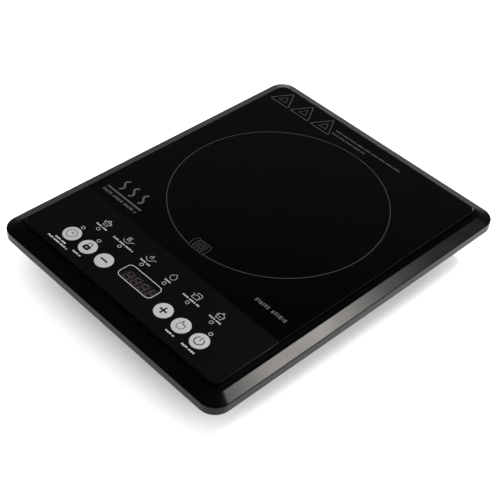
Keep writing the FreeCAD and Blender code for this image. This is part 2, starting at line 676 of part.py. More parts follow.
def make_ribbon_cable():
    """A flat cable from the control board back to the power board."""
    front = CONTROL_BOARD_REAR - RIBBON_EDGE
    rear = POWER_BOARD_FRONT + RIBBON_EDGE
    level = POWER_TOP + RIBBON_RISE
    route = [V(RIBBON_X, front, CONTROL_UNDER), V(RIBBON_X, front, level), V(RIBBON_X, rear, level),
             V(RIBBON_X, rear, POWER_TOP)]
    half = RIBBON_WIDTH / 2
    thin = RIBBON_THICKNESS / 2
    outline = [V(RIBBON_X + sx * half, front + sy * thin, CONTROL_UNDER)
               for sx, sy in ((-1, -1), (1, -1), (1, 1), (-1, 1), (-1, -1))]
    return swept(route, Part.makePolygon(outline))


# ---- coil ----------------------------------------------------------------------------------------
def make_coil_winding():
    """The flat winding as one turned pack whose top and underside show each turn of the wire."""
    r = WIRE_DIAMETER / 2
    middle = WINDING_TOP - r
    waist = r * 0.35
    top = []
    low = []
    for i in range(COIL_TURNS):
        c = COIL_INNER + r + i * WIRE_DIAMETER
        top.append((V(c - r, 0, middle + waist), V(c, 0, middle + r), V(c + r, 0, middle + waist)))
        low.insert(0, (V(c + r, 0, middle - waist), V(c, 0, middle - r), V(c - r, 0, middle - waist)))
    edges = [Part.Arc(*points).toShape() for points in top]
    edges.append(Part.LineSegment(top[-1][2], low[0][0]).toShape())
    edges += [Part.Arc(*points).toShape() for points in low]
    edges.append(Part.LineSegment(low[-1][2], top[0][0]).toShape())
    coil = Part.Face(Part.Wire(edges)).revolve(V(0, 0, 0), UP, 360)
    coil.translate(V(0, COIL_Y, 0))
    return coil


def lead_start(reach, y):
    """Where a lead leaves the winding, at a distance from the coil's centre."""
    return math.sqrt(reach ** 2 - (y - COIL_Y) ** 2)


def make_coil_former():
    """A moulded spider: a hub and a rim joined by arms, with a pocket under each arm for a ferrite bar."""
    half = FORMER_ARM / 2
    wall = POCKET_WALL / 2
    start = COIL_INNER + FERRITE_START
    arm = [box(COIL_INNER, COIL_OUTER, -half, half, FORMER_UNDER, FORMER_TOP)]
    arm += [box(start, start + FERRITE_LENGTH, s * half - wall, s * half + wall, FERRITE_UNDER, FORMER_UNDER)
            for s in SIDES]
    rings = ((COIL_OUTER + FORMER_RIM_OUT, COIL_OUTER - FORMER_RIM_IN),
             (COIL_INNER + FORMER_HUB_OUT, SENSOR_CAP_RADIUS + HUB_CLEAR))
    parts = [tube(0, COIL_Y, outer, inner, FORMER_UNDER, FORMER_TOP) for outer, inner in rings]
    parts += [spun(piece, i * 360 / FORMER_ARMS, 0, COIL_Y) for i in range(FORMER_ARMS) for piece in arm]
    ear = COIL_OUTER + COIL_POST_REACH
    bridge = box(COIL_OUTER, ear, -BRIDGE_HALF, BRIDGE_HALF, FORMER_UNDER, FORMER_TOP)
    for i, (x, y) in enumerate(COIL_POSTS):
        parts.append(rod(x, y, FORMER_EAR, FORMER_UNDER, FORMER_TOP))
        parts.append(spun(bridge, 45 + 90 * i, 0, COIL_Y))
    notches = [rod(lead_start(reach, y), y, LEAD_RADIUS + GAP, FERRITE_UNDER - PAST, FORMER_TOP + PAST)
               for reach, x, y in COIL_LEADS]
    return fused(parts).cut(group(notches + [screw_clearance(COIL_POSTS, FORMER_UNDER, FORMER_TOP)]))


def make_ferrite_bars():
    start = COIL_INNER + FERRITE_START
    half = FERRITE_WIDTH / 2
    bar = box(start, start + FERRITE_LENGTH, -half, half, FERRITE_UNDER, FORMER_UNDER)
    return group([spun(bar, i * 360 / FORMER_ARMS, 0, COIL_Y) for i in range(FORMER_ARMS)])


def make_mica_sheet():
    return tube(0, COIL_Y, COIL_OUTER + MICA_REACH, SENSOR_CAP_RADIUS + MICA_CLEAR, WINDING_TOP, MICA_TOP)


def make_sensor_cap():
    """A soft sleeve in the hub that presses the sensor up against the glass."""
    foot = FORMER_UNDER - SENSOR_CAP_DROP
    collar = SENSOR_CAP_RADIUS + SENSOR_CAP_COLLAR
    return fused([tube(0, COIL_Y, SENSOR_CAP_RADIUS, SENSOR_BORE, foot, GLASS_BOTTOM),
                  tube(0, COIL_Y, collar, SENSOR_BORE, foot, FORMER_UNDER)])


def make_temperature_sensor():
    """A bead against the underside of the glass, on two stiff legs."""
    neck = GLASS_BOTTOM - SENSOR_BEAD
    foot = FORMER_UNDER - SENSOR_LEG_DROP
    legs = [rod(side * SENSOR_RADIUS / 2, COIL_Y, SENSOR_LEG, foot, neck) for side in SIDES]
    return fused([rod(0, COIL_Y, SENSOR_RADIUS, neck, GLASS_BOTTOM)] + legs)


def make_coil_screws():
    """Driven down through the former's ears into the tray's posts."""
    return group([screw(x, y, FORMER_TOP, BOARD_SCREW, COIL_SCREW_REACH, down=True) for x, y in COIL_POSTS])


def make_coil_leads():
    """Two stranded leads from the coil's ends down to the power board."""
    level = FERRITE_UNDER - LEAD_RADIUS - GAP
    leads = []
    for reach, x, y in COIL_LEADS:
        start = lead_start(reach, y)
        route = [V(start, y, FORMER_TOP), V(start, y, level), V(x, y, level), V(x, y, POWER_TOP)]
        leads.append(swept(route, Part.Wire(Part.makeCircle(LEAD_RADIUS, route[0], V(0, 0, -1)))))
    return group(leads)


# ---- power board ---------------------------------------------------------------------------------
def make_power_board():
    foot = POWER_TOP - BOARD_THICKNESS
    board = box(POWER_BOARD_LEFT, POWER_BOARD_RIGHT, POWER_BOARD_FRONT, POWER_BOARD_REAR, foot, POWER_TOP)
    return board.cut(screw_clearance(POWER_SCREWS, foot, POWER_TOP))


def make_power_board_screws():
    return group([screw(x, y, POWER_TOP, BOARD_SCREW, POWER_SCREW_REACH, down=True) for x, y in POWER_SCREWS])


def make_heat_sink():
    """A base on four feet, with a row of upright fins."""
    x0, x1 = SINK_X
    y0, y1 = SINK_Y
    top = SINK_UNDER + SINK_BASE
    step = (y1 - y0 - SINK_FIN_THICKNESS) / (SINK_FINS - 1)
    parts = [box(x0, x1, y0, y1, SINK_UNDER, top)]
    for i in range(SINK_FINS):
        y = y0 + i * step
        parts.append(box(x0, x1, y, y + SINK_FIN_THICKNESS, top, top + SINK_FIN_HEIGHT))
    for x in (x0, x1 - SINK_FOOT):
        for y in (y0, y1 - SINK_FOOT):
            parts.append(box(x, x + SINK_FOOT, y, y + SINK_FOOT, POWER_TOP, SINK_UNDER))
    return fused(parts)


def power_device(x, y, width, length, legs):
    """A flat package under the sink's base, with its legs bent down into the board."""
    pitch = width / (legs + 1)
    half = DEVICE_PIN / 2
    end = y - DEVICE_PIN_REACH
    low = SINK_UNDER - DEVICE_PIN_DROP
    high = low + DEVICE_PIN_THICKNESS
    parts = [box(x, x + width, y, y + length, SINK_UNDER - DEVICE_THICKNESS, SINK_UNDER)]
    for i in range(legs):
        pin = x + pitch * (i + 1)
        parts.append(box(pin - half, pin + half, end, y, low, high))
        parts.append(box(pin - half, pin + half, end, end + DEVICE_PIN_THICKNESS, POWER_TOP, high))
    return fused(parts)


def make_box_capacitor(x, y, width, length, height):
    body = slab(width / 2, length / 2, BOX_RADIUS, POWER_TOP, POWER_TOP + height, x, y)
    return body.makeFillet(BOX_ROUND, loops_at(body, POWER_TOP + height))


def make_electrolytic_capacitors():
    cans = []
    for x, y, r, height in CANS:
        top = POWER_TOP + height
        can = rod(x, y, r, POWER_TOP, top)
        can = can.makeFillet(CAN_ROUND, loops_at(can, top))
        score = box(x - r, x + r, y - CAN_SCORE / 2, y + CAN_SCORE / 2, top - CAN_SCORE, top + PAST)
        cans.append(can.cut(score))
    return group(cans)


def make_choke_core():
    x, y = CHOKE
    foot = POWER_TOP + CHOKE_WIRE + GAP
    return tube(x, y, CHOKE_RADIUS + CHOKE_HALF, CHOKE_RADIUS - CHOKE_HALF, foot, foot + CHOKE_HEIGHT)


def make_choke_winding():
    """Two half windings of square turns round the ring core."""
    x, y = CHOKE
    foot = POWER_TOP + CHOKE_WIRE + GAP
    near = CHOKE_RADIUS - CHOKE_HALF - SLIP
    far = CHOKE_RADIUS + CHOKE_HALF + SLIP
    low = foot - SLIP
    high = foot + CHOKE_HEIGHT + SLIP
    wire = CHOKE_WIRE
    outer = box(near - wire, far + wire, -wire / 2, wire / 2, low - wire, high + wire)
    turn = outer.cut(box(near, far, -wire, wire, low, high))
    span = (CHOKE_TURNS - 1) * CHOKE_STEP
    angles = [half + i * CHOKE_STEP - span / 2 for half in (0, 180) for i in range(CHOKE_TURNS)]
    return group([spun(turn, angle, x, y) for angle in angles])


def make_auxiliary_transformer():
    x, y = TRANSFORMER
    blocks = (TRANSFORMER_CORE, TRANSFORMER_BASE, TRANSFORMER_DRUM)
    return fused([box(x - a, x + a, y - b, y + b, POWER_TOP + low, POWER_TOP + high)
                  for a, b, low, high in blocks])


def make_mains_fuse():
    """A glass cartridge with metal caps, in two clips."""
    y0, y1 = FUSE_Y
    z = POWER_TOP + FUSE_RISE
    half = FUSE_RADIUS - GAP
    parts = [level_rod(FUSE_RADIUS, y1 - y0, FUSE_X, y0, z)]
    for y in (y0, y1 - FUSE_CAP):
        parts.append(level_rod(FUSE_RADIUS + GAP, FUSE_CAP, FUSE_X, y, z))
        clip = y + (FUSE_CAP - FUSE_CLIP) / 2
        parts.append(box(FUSE_X - half, FUSE_X + half, clip, clip + FUSE_CLIP, POWER_TOP, z))
    return fused(parts)


def make_terminal_block():
    x0, x1 = TERMINAL_X
    y0, y1 = TERMINAL_Y
    top = POWER_TOP + TERMINAL_HEIGHT
    first = (x0 + x1 - (TERMINALS - 1) * TERMINAL_PITCH) / 2
    wells = [rod(first + i * TERMINAL_PITCH, (y0 + y1) / 2, TERMINAL_WELL, top - TERMINAL_DEPTH, top + PAST)
             for i in range(TERMINALS)]
    return box(x0, x1, y0, y1, POWER_TOP, top).cut(group(wells))


# ---- fan -----------------------------------------------------------------------------------------
def make_fan_frame():
    """A square plate and a round duct, with struts to a hub floor and the tube that holds the bearing."""
    half = FAN_SIDE / 2
    plate = slab(half, half, FAN_CORNER, FAN_Z, FAN_Z + FAN_PLATE, FAN_X, FAN_Y)
    plate = plate.cut(rod(FAN_X, FAN_Y, FAN_DUCT, FAN_Z - PAST, FAN_Z + FAN_PLATE + PAST))
    wide = STRUT_WIDTH / 2
    strut = box(HUB_RADIUS - PAST, FAN_DUCT + PAST, -wide, wide, FAN_Z, FAN_Z + STRUT_HEIGHT)
    parts = [tube(FAN_X, FAN_Y, FAN_DUCT + FAN_WALL, FAN_DUCT, FAN_Z, FAN_Z + FAN_HEIGHT), plate,
             rod(FAN_X, FAN_Y, HUB_RADIUS, FAN_Z, FAN_Z + HUB_FLOOR),
             rod(FAN_X, FAN_Y, BEARING_TUBE, FAN_Z, FAN_Z + BEARING_TOP)]
    parts += [spun(strut, 45 + i * 360 / STRUTS, FAN_X, FAN_Y) for i in range(STRUTS)]
    socket = rod(FAN_X, FAN_Y, BEARING_RADIUS, FAN_Z + HUB_FLOOR / 2, FAN_Z + BEARING_TOP + PAST)
    return fused(parts).cut(group([socket, screw_clearance(FAN_CORNERS, FAN_Z, FAN_Z + FAN_PLATE)]))


def make_fan_bearing():
    bore = SHAFT_RADIUS + SHAFT_FIT
    return tube(FAN_X, FAN_Y, BEARING_RADIUS, bore, FAN_Z + BEARING_BOTTOM, FAN_Z + BEARING_TOP)


def make_fan_stator():
    """The core with its four coils and shoes, and the small round board below, all on the bearing's tube."""
    low, high = (FAN_Z + rise for rise in STATOR_SPAN)
    board = FAN_Z + HUB_FLOOR
    inner = STATOR_RADIUS - STATOR_SHOE
    arm = box(BEARING_TUBE + PAST, inner + SLIP, -STATOR_ARM / 2, STATOR_ARM / 2, low + PAST, high - PAST)
    coil = box(BEARING_TUBE + HUB_WALL, inner - PAST, -STATOR_COIL / 2, STATOR_COIL / 2, low, high)
    shoe = tube(0, 0, STATOR_RADIUS, inner, low, high).common(
        box(0, STATOR_RADIUS, -STATOR_RADIUS / 2, STATOR_RADIUS / 2, low, high))
    parts = [tube(FAN_X, FAN_Y, BEARING_TUBE + 2 * HUB_WALL, BEARING_TUBE, board, high + GAP),
             tube(FAN_X, FAN_Y, STATOR_BOARD, BEARING_TUBE, board, board + STATOR_BOARD_THICKNESS)]
    parts += [spun(piece, i * 360 / STATOR_ARMS, FAN_X, FAN_Y) for i in range(STATOR_ARMS)
              for piece in (arm, coil, shoe)]
    return fused(parts)


def make_fan_rotor():
    """A cup over the stator with pitched blades round it."""
    cup = rod(FAN_X, FAN_Y, HUB_RADIUS, CUP_UNDER, CUP_TOP)
    cup = cup.makeFillet(HUB_ROUND, loops_at(cup, CUP_TOP))
    cup = cup.cut(rod(FAN_X, FAN_Y, HUB_RADIUS - HUB_WALL, CUP_UNDER - PAST, CUP_TOP - HUB_WALL))
    cup = cup.fuse(rod(FAN_X, FAN_Y, 2 * SHAFT_RADIUS, CUP_TOP - HUB_WALL - PAST, CUP_TOP - HUB_WALL))
    cup = cup.cut(rod(FAN_X, FAN_Y, SHAFT_RADIUS, CUP_UNDER, CUP_TOP - HUB_WALL / 2))
    height = CUP_TOP - CUP_UNDER
    blade = box(HUB_RADIUS - HUB_WALL, FAN_DUCT, -BLADE_CHORD / 2, BLADE_CHORD / 2,
                -BLADE_THICKNESS / 2, BLADE_THICKNESS / 2)
    blade.rotate(V(0, 0, 0), V(1, 0, 0), BLADE_PITCH)
    blade.translate(V(0, 0, (CUP_TOP + CUP_UNDER) / 2))
    span = tube(0, 0, FAN_DUCT - TIP_GAP, HUB_RADIUS - HUB_WALL / 2, CUP_UNDER - height, CUP_TOP + height)
    sweep = box(0, FAN_DUCT, -FAN_DUCT, FAN_DUCT, CUP_UNDER + SLIP, CUP_TOP - SLIP)
    blade = blade.common(span).common(sweep)
    return fused([cup] + [spun(blade, i * 360 / BLADES, FAN_X, FAN_Y) for i in range(BLADES)])


def make_fan_magnet():
    outer = HUB_RADIUS - HUB_WALL
    return tube(FAN_X, FAN_Y, outer, outer - MAGNET_THICKNESS, CUP_UNDER, CUP_TOP - MAGNET_DROP)


def make_fan_shaft():
    return rod(FAN_X, FAN_Y, SHAFT_RADIUS, FAN_Z + BEARING_BOTTOM + GAP, CUP_TOP - HUB_WALL / 2)


def make_fan_screws():
    seat = FAN_Z + FAN_PLATE
    return group([screw(x, y, seat, BOARD_SCREW, FAN_SCREW_REACH, down=True) for x, y in FAN_CORNERS])


# ---- tray ----------------------------------------------------------------------------------------
def tray_inset(z):
    """How far in from the lip the tray's outer wall stands at height z."""
    share = (z - FOOT_HEIGHT) / (FLANGE_BOTTOM - FOOT_HEIGHT)
    return TRAY_INSET_FLOOR + (TRAY_INSET_TOP - TRAY_INSET_FLOOR) * share


def tray_wire(z, wall=0.0):
    inset = tray_inset(z) + wall
    return rounded_wire(HALF_W - inset, HALF_D - inset, TRAY_RADIUS - wall, z)


def wall_vents():
    """Upright slots along the rear wall and along both side walls."""
    low = FOOT_HEIGHT + VENT_MARGIN
    high = FLANGE_BOTTOM - VENT_MARGIN
    near = TRAY_INSET_FLOOR + 2 * TRAY_WALL
    far = TRAY_INSET_TOP - PAST
    slots = []
    for i in range(REAR_VENTS):
        x = REAR_VENT_START + i * VENT_PITCH
        slots.append(box(x, x + VENT_WIDTH, HALF_D - near, HALF_D - far, low, high))
    for i in range(SIDE_VENTS):
        y = SIDE_VENT_START + i * VENT_PITCH
        for side in SIDES:
            slots.append(box(side * (HALF_W - near), side * (HALF_W - far), y, y + VENT_WIDTH, low, high))
    return slots


def intake_slots():
    """Straight slots across the floor below the fan, trimmed to its circle and parted by a middle rib."""
    reach = FAN_DUCT - INTAKE_INSET
    count = int(reach / VENT_PITCH)
    end = VENT_WIDTH / 2
    slots = []
    for i in range(-count, count + 1):
        y = i * VENT_PITCH
        length = math.sqrt(reach ** 2 - y ** 2) - INTAKE_RIB / 2
        middle = (length + INTAKE_RIB) / 2
        slot = slab(length / 2, end, end - NEARLY, FOOT_HEIGHT - PAST, FLOOR + PAST)
        slots += [spun(slot, 0, FAN_X + side * middle, FAN_Y + y) for side in SIDES]
    return slots


def inlet_face():
    """The outer face of the upright pad that holds the cord gland."""
    return HALF_D - tray_inset(INLET_Z + INLET_PAD / 2) + INLET_PROUD


def make_bottom_housing():
    outer = loft(tray_wire(FOOT_HEIGHT), tray_wire(FLANGE_BOTTOM))
    outer = outer.makeFillet(TRAY_ROUND, loops_at(outer, FOOT_HEIGHT))
    tray = outer.cut(loft(tray_wire(FLOOR, TRAY_WALL), tray_wire(FLANGE_BOTTOM + PAST, TRAY_WALL)))
    sunk = FLOOR - TRAY_WALL / 2
    half = INLET_PAD / 2
    face = inlet_face()
    back = face - INLET_PAD_DEPTH
    parts = [tray, box(INLET_X - half, INLET_X + half, back, face, INLET_Z - half + PAST, INLET_Z + half)]
    parts += [rod(x, y, PILLAR_RADIUS, sunk, PILLAR_TOP) for x, y in FRAME_POSTS]
    parts += [rod(x, y, COIL_POST_RADIUS, sunk, FORMER_UNDER) for x, y in COIL_POSTS]
    parts += [rod(x, y, BOARD_PILLAR, sunk, POWER_TOP - BOARD_THICKNESS) for x, y in POWER_SCREWS]
    parts += [rod(x, y, BOARD_PILLAR, sunk, FAN_Z) for x, y in FAN_CORNERS]
    pilot = BOARD_SCREW[0] + PILOT
    cuts = [rod(x, y, PILLAR_BORE, FOOT_HEIGHT - PAST, PILLAR_TOP - PILLAR_SHELF) for x, y in FRAME_POSTS]
    cuts += [rod(x, y, HOUSING_SCREW[0] + LOOSE, FOOT_HEIGHT, PILLAR_TOP + PAST) for x, y in FRAME_POSTS]
    cuts += [rod(x, y, pilot, FORMER_UNDER - COIL_SCREW_REACH, FORMER_UNDER + PAST) for x, y in COIL_POSTS]
    cuts += [rod(x, y, pilot, FLOOR - GAP, POWER_TOP) for x, y in POWER_SCREWS]
    cuts += [rod(x, y, pilot, FLOOR - GAP, FAN_Z + PAST) for x, y in FAN_CORNERS]
    cuts += [rod(x, y, FOOT_STEM, FOOT_HEIGHT - PAST, FLOOR + PAST) for x, y in FEET]
    cuts.append(level_rod(GLAND_RADIUS, INLET_PAD_DEPTH + 2 * PAST, INLET_X, back - PAST, INLET_Z))
    return fused(parts).cut(group(cuts + wall_vents() + intake_slots()))


def make_cord_gland():
    """A soft grommet: a collar outside the wall, a tapered one inside, and the cord's bore."""
    face = inlet_face()
    back = face - INLET_PAD_DEPTH
    length = INLET_PAD_DEPTH + 2 * GLAND_COLLAR
    foot = back - GLAND_COLLAR
    outer = level_rod(GLAND_RADIUS + GLAND_COLLAR, GLAND_COLLAR, INLET_X, face, INLET_Z)
    outer = outer.makeFillet(GLAND_ROUND, [e for e in outer.Edges if e.BoundBox.YMin > face + GLAND_ROUND])
    inner = Part.makeCone(GLAND_RADIUS + GLAND_BARB, GLAND_RADIUS, GLAND_COLLAR, V(INLET_X, back, INLET_Z),
                          -REARWARD)
    gland = fused([level_rod(GLAND_RADIUS, length, INLET_X, foot, INLET_Z), outer, inner])
    return gland.cut(level_rod(GLAND_BORE, length, INLET_X, foot, INLET_Z))


def make_rubber_feet():
    ring = FOOT_RADIUS - FOOT_RING
    feet = []
    for x, y in FEET:
        pad = turned([(0, FOOT_RECESS), (ring, FOOT_RECESS), (ring, 0), (FOOT_RADIUS - FOOT_EDGE, 0),
                      (FOOT_RADIUS, FOOT_EDGE), (FOOT_RADIUS, FOOT_HEIGHT), (0, FOOT_HEIGHT)], x, y)
        stem = rod(x, y, FOOT_STEM, FOOT_HEIGHT, FLOOR + GAP)
        head = Part.makeCone(FOOT_STEM + FOOT_HEAD, FOOT_STEM - FOOT_HEAD, FOOT_HEAD_HEIGHT, V(x, y, FLOOR))
        feet.append(fused([pad, stem, head]))
    return group(feet)


def make_housing_screws():
    seat = PILLAR_TOP - PILLAR_SHELF
    return group([screw(x, y, seat, HOUSING_SCREW[:3], HOUSING_SCREW[3]) for x, y in FRAME_POSTS])


# ---- build ---------------------------------------------------------------------------------------
def all_parts():
    parts = {
        "top_frame": make_top_frame(),
        "glass_plate": make_glass_plate(),
        "glass_adhesive": make_glass_adhesive(),
        "control_overlay": make_control_overlay(),
        "display_lens": make_display_lens(),
        "switch_bodies": make_switch_bodies(),
        "control_board": make_control_board(),
        "control_board_screws": make_control_board_screws(),
        "indicator_leds": make_indicator_leds(),
        "light_pipes": make_light_pipes(),
        "display_module": make_display_module(),
        "buzzer": make_buzzer(),
        "microcontroller": make_microcontroller(),
        "ribbon_cable": make_ribbon_cable(),
        "coil_winding": make_coil_winding(),
        "coil_former": make_coil_former(),
        "ferrite_bars": make_ferrite_bars(),
        "mica_sheet": make_mica_sheet(),
        "sensor_cap": make_sensor_cap(),
        "temperature_sensor": make_temperature_sensor(),
        "coil_screws": make_coil_screws(),
        "coil_leads": make_coil_leads(),
        "power_board": make_power_board(),
        "power_board_screws": make_power_board_screws(),
        "heat_sink": make_heat_sink(),
        "igbt": power_device(*IGBT),
        "bridge_rectifier": power_device(*RECTIFIER),
        "resonant_capacitor": make_box_capacitor(*RESONANT_CAPACITOR),
        "mains_filter_capacitor": make_box_capacitor(*MAINS_CAPACITOR),
        "smoothing_capacitor": make_box_capacitor(*SMOOTHING_CAPACITOR),
        "electrolytic_capacitors": make_electrolytic_capacitors(),
        "choke_core": make_choke_core(),
        "choke_winding": make_choke_winding(),
        "auxiliary_transformer": make_auxiliary_transformer(),
        "mains_fuse": make_mains_fuse(),
        "terminal_block": make_terminal_block(),
        "fan_frame": make_fan_frame(),
        "fan_bearing": make_fan_bearing(),
        "fan_stator": make_fan_stator(),
        "fan_rotor": make_fan_rotor(),
        "fan_magnet": make_fan_magnet(),
        "fan_shaft": make_fan_shaft(),
        "fan_screws": make_fan_screws(),
        "bottom_housing": make_bottom_housing(),
        "cord_gland": make_cord_gland(),
        "rubber_feet": make_rubber_feet(),
        "housing_screws": make_housing_screws(),
    }
    for name, x in zip(KEY_NAMES, KEYS_X):
        parts["key_" + name] = make_key(x)
        parts["plunger_" + name] = make_plunger(x)
    return parts


def main():
    os.makedirs("parts", exist_ok=True)
    for name, shape in all_parts().items():
        assert shape.isValid() and shape.Solids, name
        shape.exportStep("parts/" + name + ".step")
        print(name, len(shape.Solids), round(shape.Volume / 1000, 2), "cm3")


main()
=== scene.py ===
import json
import math

import bmesh
import bpy
from mathutils import Matrix, Vector


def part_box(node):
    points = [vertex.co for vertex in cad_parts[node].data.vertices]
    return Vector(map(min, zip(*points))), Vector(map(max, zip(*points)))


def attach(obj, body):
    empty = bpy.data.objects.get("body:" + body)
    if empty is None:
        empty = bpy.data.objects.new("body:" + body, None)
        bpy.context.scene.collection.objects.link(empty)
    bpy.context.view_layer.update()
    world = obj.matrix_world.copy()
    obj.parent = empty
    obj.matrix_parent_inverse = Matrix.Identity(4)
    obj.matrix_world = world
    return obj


bl_info = {
    "name": "Induction cooktop",
    "version": (1, 0, 0),
    "blender": (4, 5, 0),
    "location": "3D View > Sidebar > Cooktop",
    "description": "Finishes, printed marks and studio of a portable induction cooktop",
    "category": "Object",
}

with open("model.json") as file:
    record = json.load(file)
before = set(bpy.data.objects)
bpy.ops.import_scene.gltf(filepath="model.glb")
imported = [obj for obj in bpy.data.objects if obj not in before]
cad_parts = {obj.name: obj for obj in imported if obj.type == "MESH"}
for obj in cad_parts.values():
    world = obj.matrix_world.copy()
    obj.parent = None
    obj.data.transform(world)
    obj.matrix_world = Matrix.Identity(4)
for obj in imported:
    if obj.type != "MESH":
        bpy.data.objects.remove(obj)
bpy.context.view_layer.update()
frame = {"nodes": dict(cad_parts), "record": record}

MM = 0.001
KEY_NAMES = ("timer", "lock", "minus", "plus", "menu", "power")
SMOOTH_STEP = 0.7      # longest stretch of a printed line on a domed key, in mm
PICTURE_SCALE = 0.98   # of the cooking pictures, from the sizes they are drawn in


# ---- material nodes ------------------------------------------------------------------------------
class Wire:
    """One output of a material's nodes. Arithmetic on it adds Math nodes."""

    def __init__(self, finish, socket):
        self.finish = finish
        self.socket = socket

    def maths(self, operation, *values):
        return self.finish.node("ShaderNodeMath", {"operation": operation}, dict(enumerate(values)))

    def __add__(self, other):
        return self.maths("ADD", self, other)

    def __mul__(self, other):
        return self.maths("MULTIPLY", self, other)

    def __sub__(self, other):
        return self.maths("SUBTRACT", self, other)

    def __rsub__(self, other):
        return self.maths("SUBTRACT", other, self)

    def __pow__(self, other):
        return self.maths("POWER", self, other)

    __radd__ = __add__
    __rmul__ = __mul__

    def sine(self):
        return self.maths("SINE", self)


class Finish:
    """A material made of nodes round one Principled shader."""

    def __init__(self, name, **uniform):
        self.material = bpy.data.materials.new(name)
        self.material.use_nodes = True
        self.tree = self.material.node_tree
        self.tree.nodes.clear()
        self.shader = self.tree.nodes.new("ShaderNodeBsdfPrincipled")
        output = self.tree.nodes.new("ShaderNodeOutputMaterial")
        self.tree.links.new(self.shader.outputs[0], output.inputs[0])
        for socket, value in uniform.items():
            self.feed(socket.replace("_", " "), value)

    def feed(self, socket, value):
        """Gives the shader's socket a number or colour, or the output of a node."""
        self.join(self.shader.inputs[socket], value)

    def join(self, socket, value):
        if isinstance(value, Wire):
            self.tree.links.new(value.socket, socket)
        else:
            socket.default_value = value

    def node(self, kind, settings, values, output=0):
        """Adds a node: its settings first, then the values or links of its sockets."""
        made = self.tree.nodes.new(kind)
        for name, value in settings.items():
            if name == "stops":
                ramp = made.color_ramp
                while len(ramp.elements) < len(value):
                    ramp.elements.new(1.0)
                for element, (place, level) in zip(ramp.elements, value):
                    element.position = place
                    element.color = (level, level, level, 1.0)
            else:
                setattr(made, name, value)
        for name, value in values.items():
            self.join(made.inputs[name], value)
        return Wire(self, made.outputs[output])

    def place(self, stretch=(1.0, 1.0, 1.0)):
        """Where a point of the piece is, in metres, stretched along the axes."""
        here = self.node("ShaderNodeTexCoord", {}, {}, "Object")
        if stretch == (1.0, 1.0, 1.0):
            return here
        return self.node("ShaderNodeVectorMath", {"operation": "MULTIPLY"}, {0: here, 1: stretch})

    def noise(self, size, detail=2.0, stretch=(1.0, 1.0, 1.0), distortion=0.0):
        """Soft random variation from 0 to 1, with features of about that size in mm."""
        return self.node("ShaderNodeTexNoise", {}, {
            "Vector": self.place(stretch), "Scale": 1 / (size * MM),
            "Detail": detail, "Distortion": distortion})

    def cells(self, size, distance="EUCLIDEAN"):
        """Distance inside cells of about that size in mm."""
        return self.node("ShaderNodeTexVoronoi", {"distance": distance},
                         {"Vector": self.place(), "Scale": 1 / (size * MM)})

    def ramp(self, value, *stops):
        """A value passed through a ramp of (place, level) stops."""
        return self.node("ShaderNodeValToRGB", {"stops": stops}, {0: value})

    def mix(self, factor, first, second):
        """A colour between two others."""
        return self.node("ShaderNodeMix", {"data_type": "RGBA"},
                         {0: factor, 6: rgba(first), 7: rgba(second)}, 2)

    def relief(self, height, depth):
        """A bump of that depth in mm, for a height from 0 to 1."""
        self.feed("Normal", self.node("ShaderNodeBump", {},
                                      {"Height": height, "Distance": depth * MM, "Strength": 1.0}))


def rgba(colour):
    """A colour with its alpha, or a node's output as it is."""
    return colour if isinstance(colour, Wire) else (*tuple(colour)[:3], 1.0)


def shade(colour, share):
    """A colour made lighter or darker."""
    return [min(1.0, c * share) for c in tuple(colour)[:3]]


def moulded(name, colour, roughness, grain=0.5, depth=0.003, **uniform):
    """Moulded plastic or rubber: cloudy colour, a fine grain, and some patches a little shinier."""
    made = Finish(name, **uniform)
    cloud = made.noise(18.0, 4.0)
    fine = made.noise(grain, 3.0)
    patch = made.noise(45.0, 5.0, distortion=0.6)
    variety = 0.25
    made.feed("Base Color", made.mix(cloud * 0.7 + fine * 0.3,
                                     shade(colour, 1 - variety), shade(colour, 1 + variety)))
    made.feed("Roughness", roughness + (patch - 0.5) * 0.14 + (fine - 0.5) * 0.10)
    made.relief(fine, depth)
    return made.material


def worked_metal(name, colour, roughness, stretch=(1.0, 1.0, 1.0), grain=0.25):
    """Bare metal with fine marks, drawn out along the axes that have a low stretch."""
    made = Finish(name, Metallic=1.0)
    marks = made.noise(grain, 4.0, stretch)
    tarnish = made.noise(7.0, 4.0)
    made.feed("Base Color", made.mix(tarnish, shade(colour, 0.78), shade(colour, 1.12)))
    made.feed("Roughness", roughness + (marks - 0.5) * 0.25 + (tarnish - 0.5) * 0.15)
    made.relief(marks, 0.004)
    return made.material


def glass_finish(name, colours):
    """Black ceramic glass: polished, with a faint haze of wiping marks and pinhead specks."""
    made = Finish(name, IOR=1.5)
    wipe = made.noise(60.0, 5.0, (1.0, 0.35, 1.0), 1.2)
    speck = made.cells(1.4)
    made.feed("Base Color", made.mix(made.ramp(speck, (0.0, 1.0), (0.14, 0.0)), colours.glass,
                                     shade(colours.glass, 1.8)))
    made.feed("Roughness", 0.045 + made.ramp(wipe, (0.42, 0.0), (0.75, 1.0)) * 0.05)
    made.relief(made.noise(9.0, 2.0), 0.0006)
    return made.material


def film_finish(name, colours):
    """The deck's printed polyester film: a fine velvet grain that spreads what it reflects."""
    made = Finish(name, IOR=1.5, Specular_IOR_Level=0.13)
    grain = made.noise(0.16, 3.0)
    cloud = made.noise(22.0, 3.0)
    made.feed("Base Color", made.mix(cloud, shade(colours.film, 0.85), shade(colours.film, 1.15)))
    made.feed("Roughness", 0.34 + (grain - 0.5) * 0.12 + (cloud - 0.5) * 0.05)
    made.relief(grain, 0.0012)
    return made.material


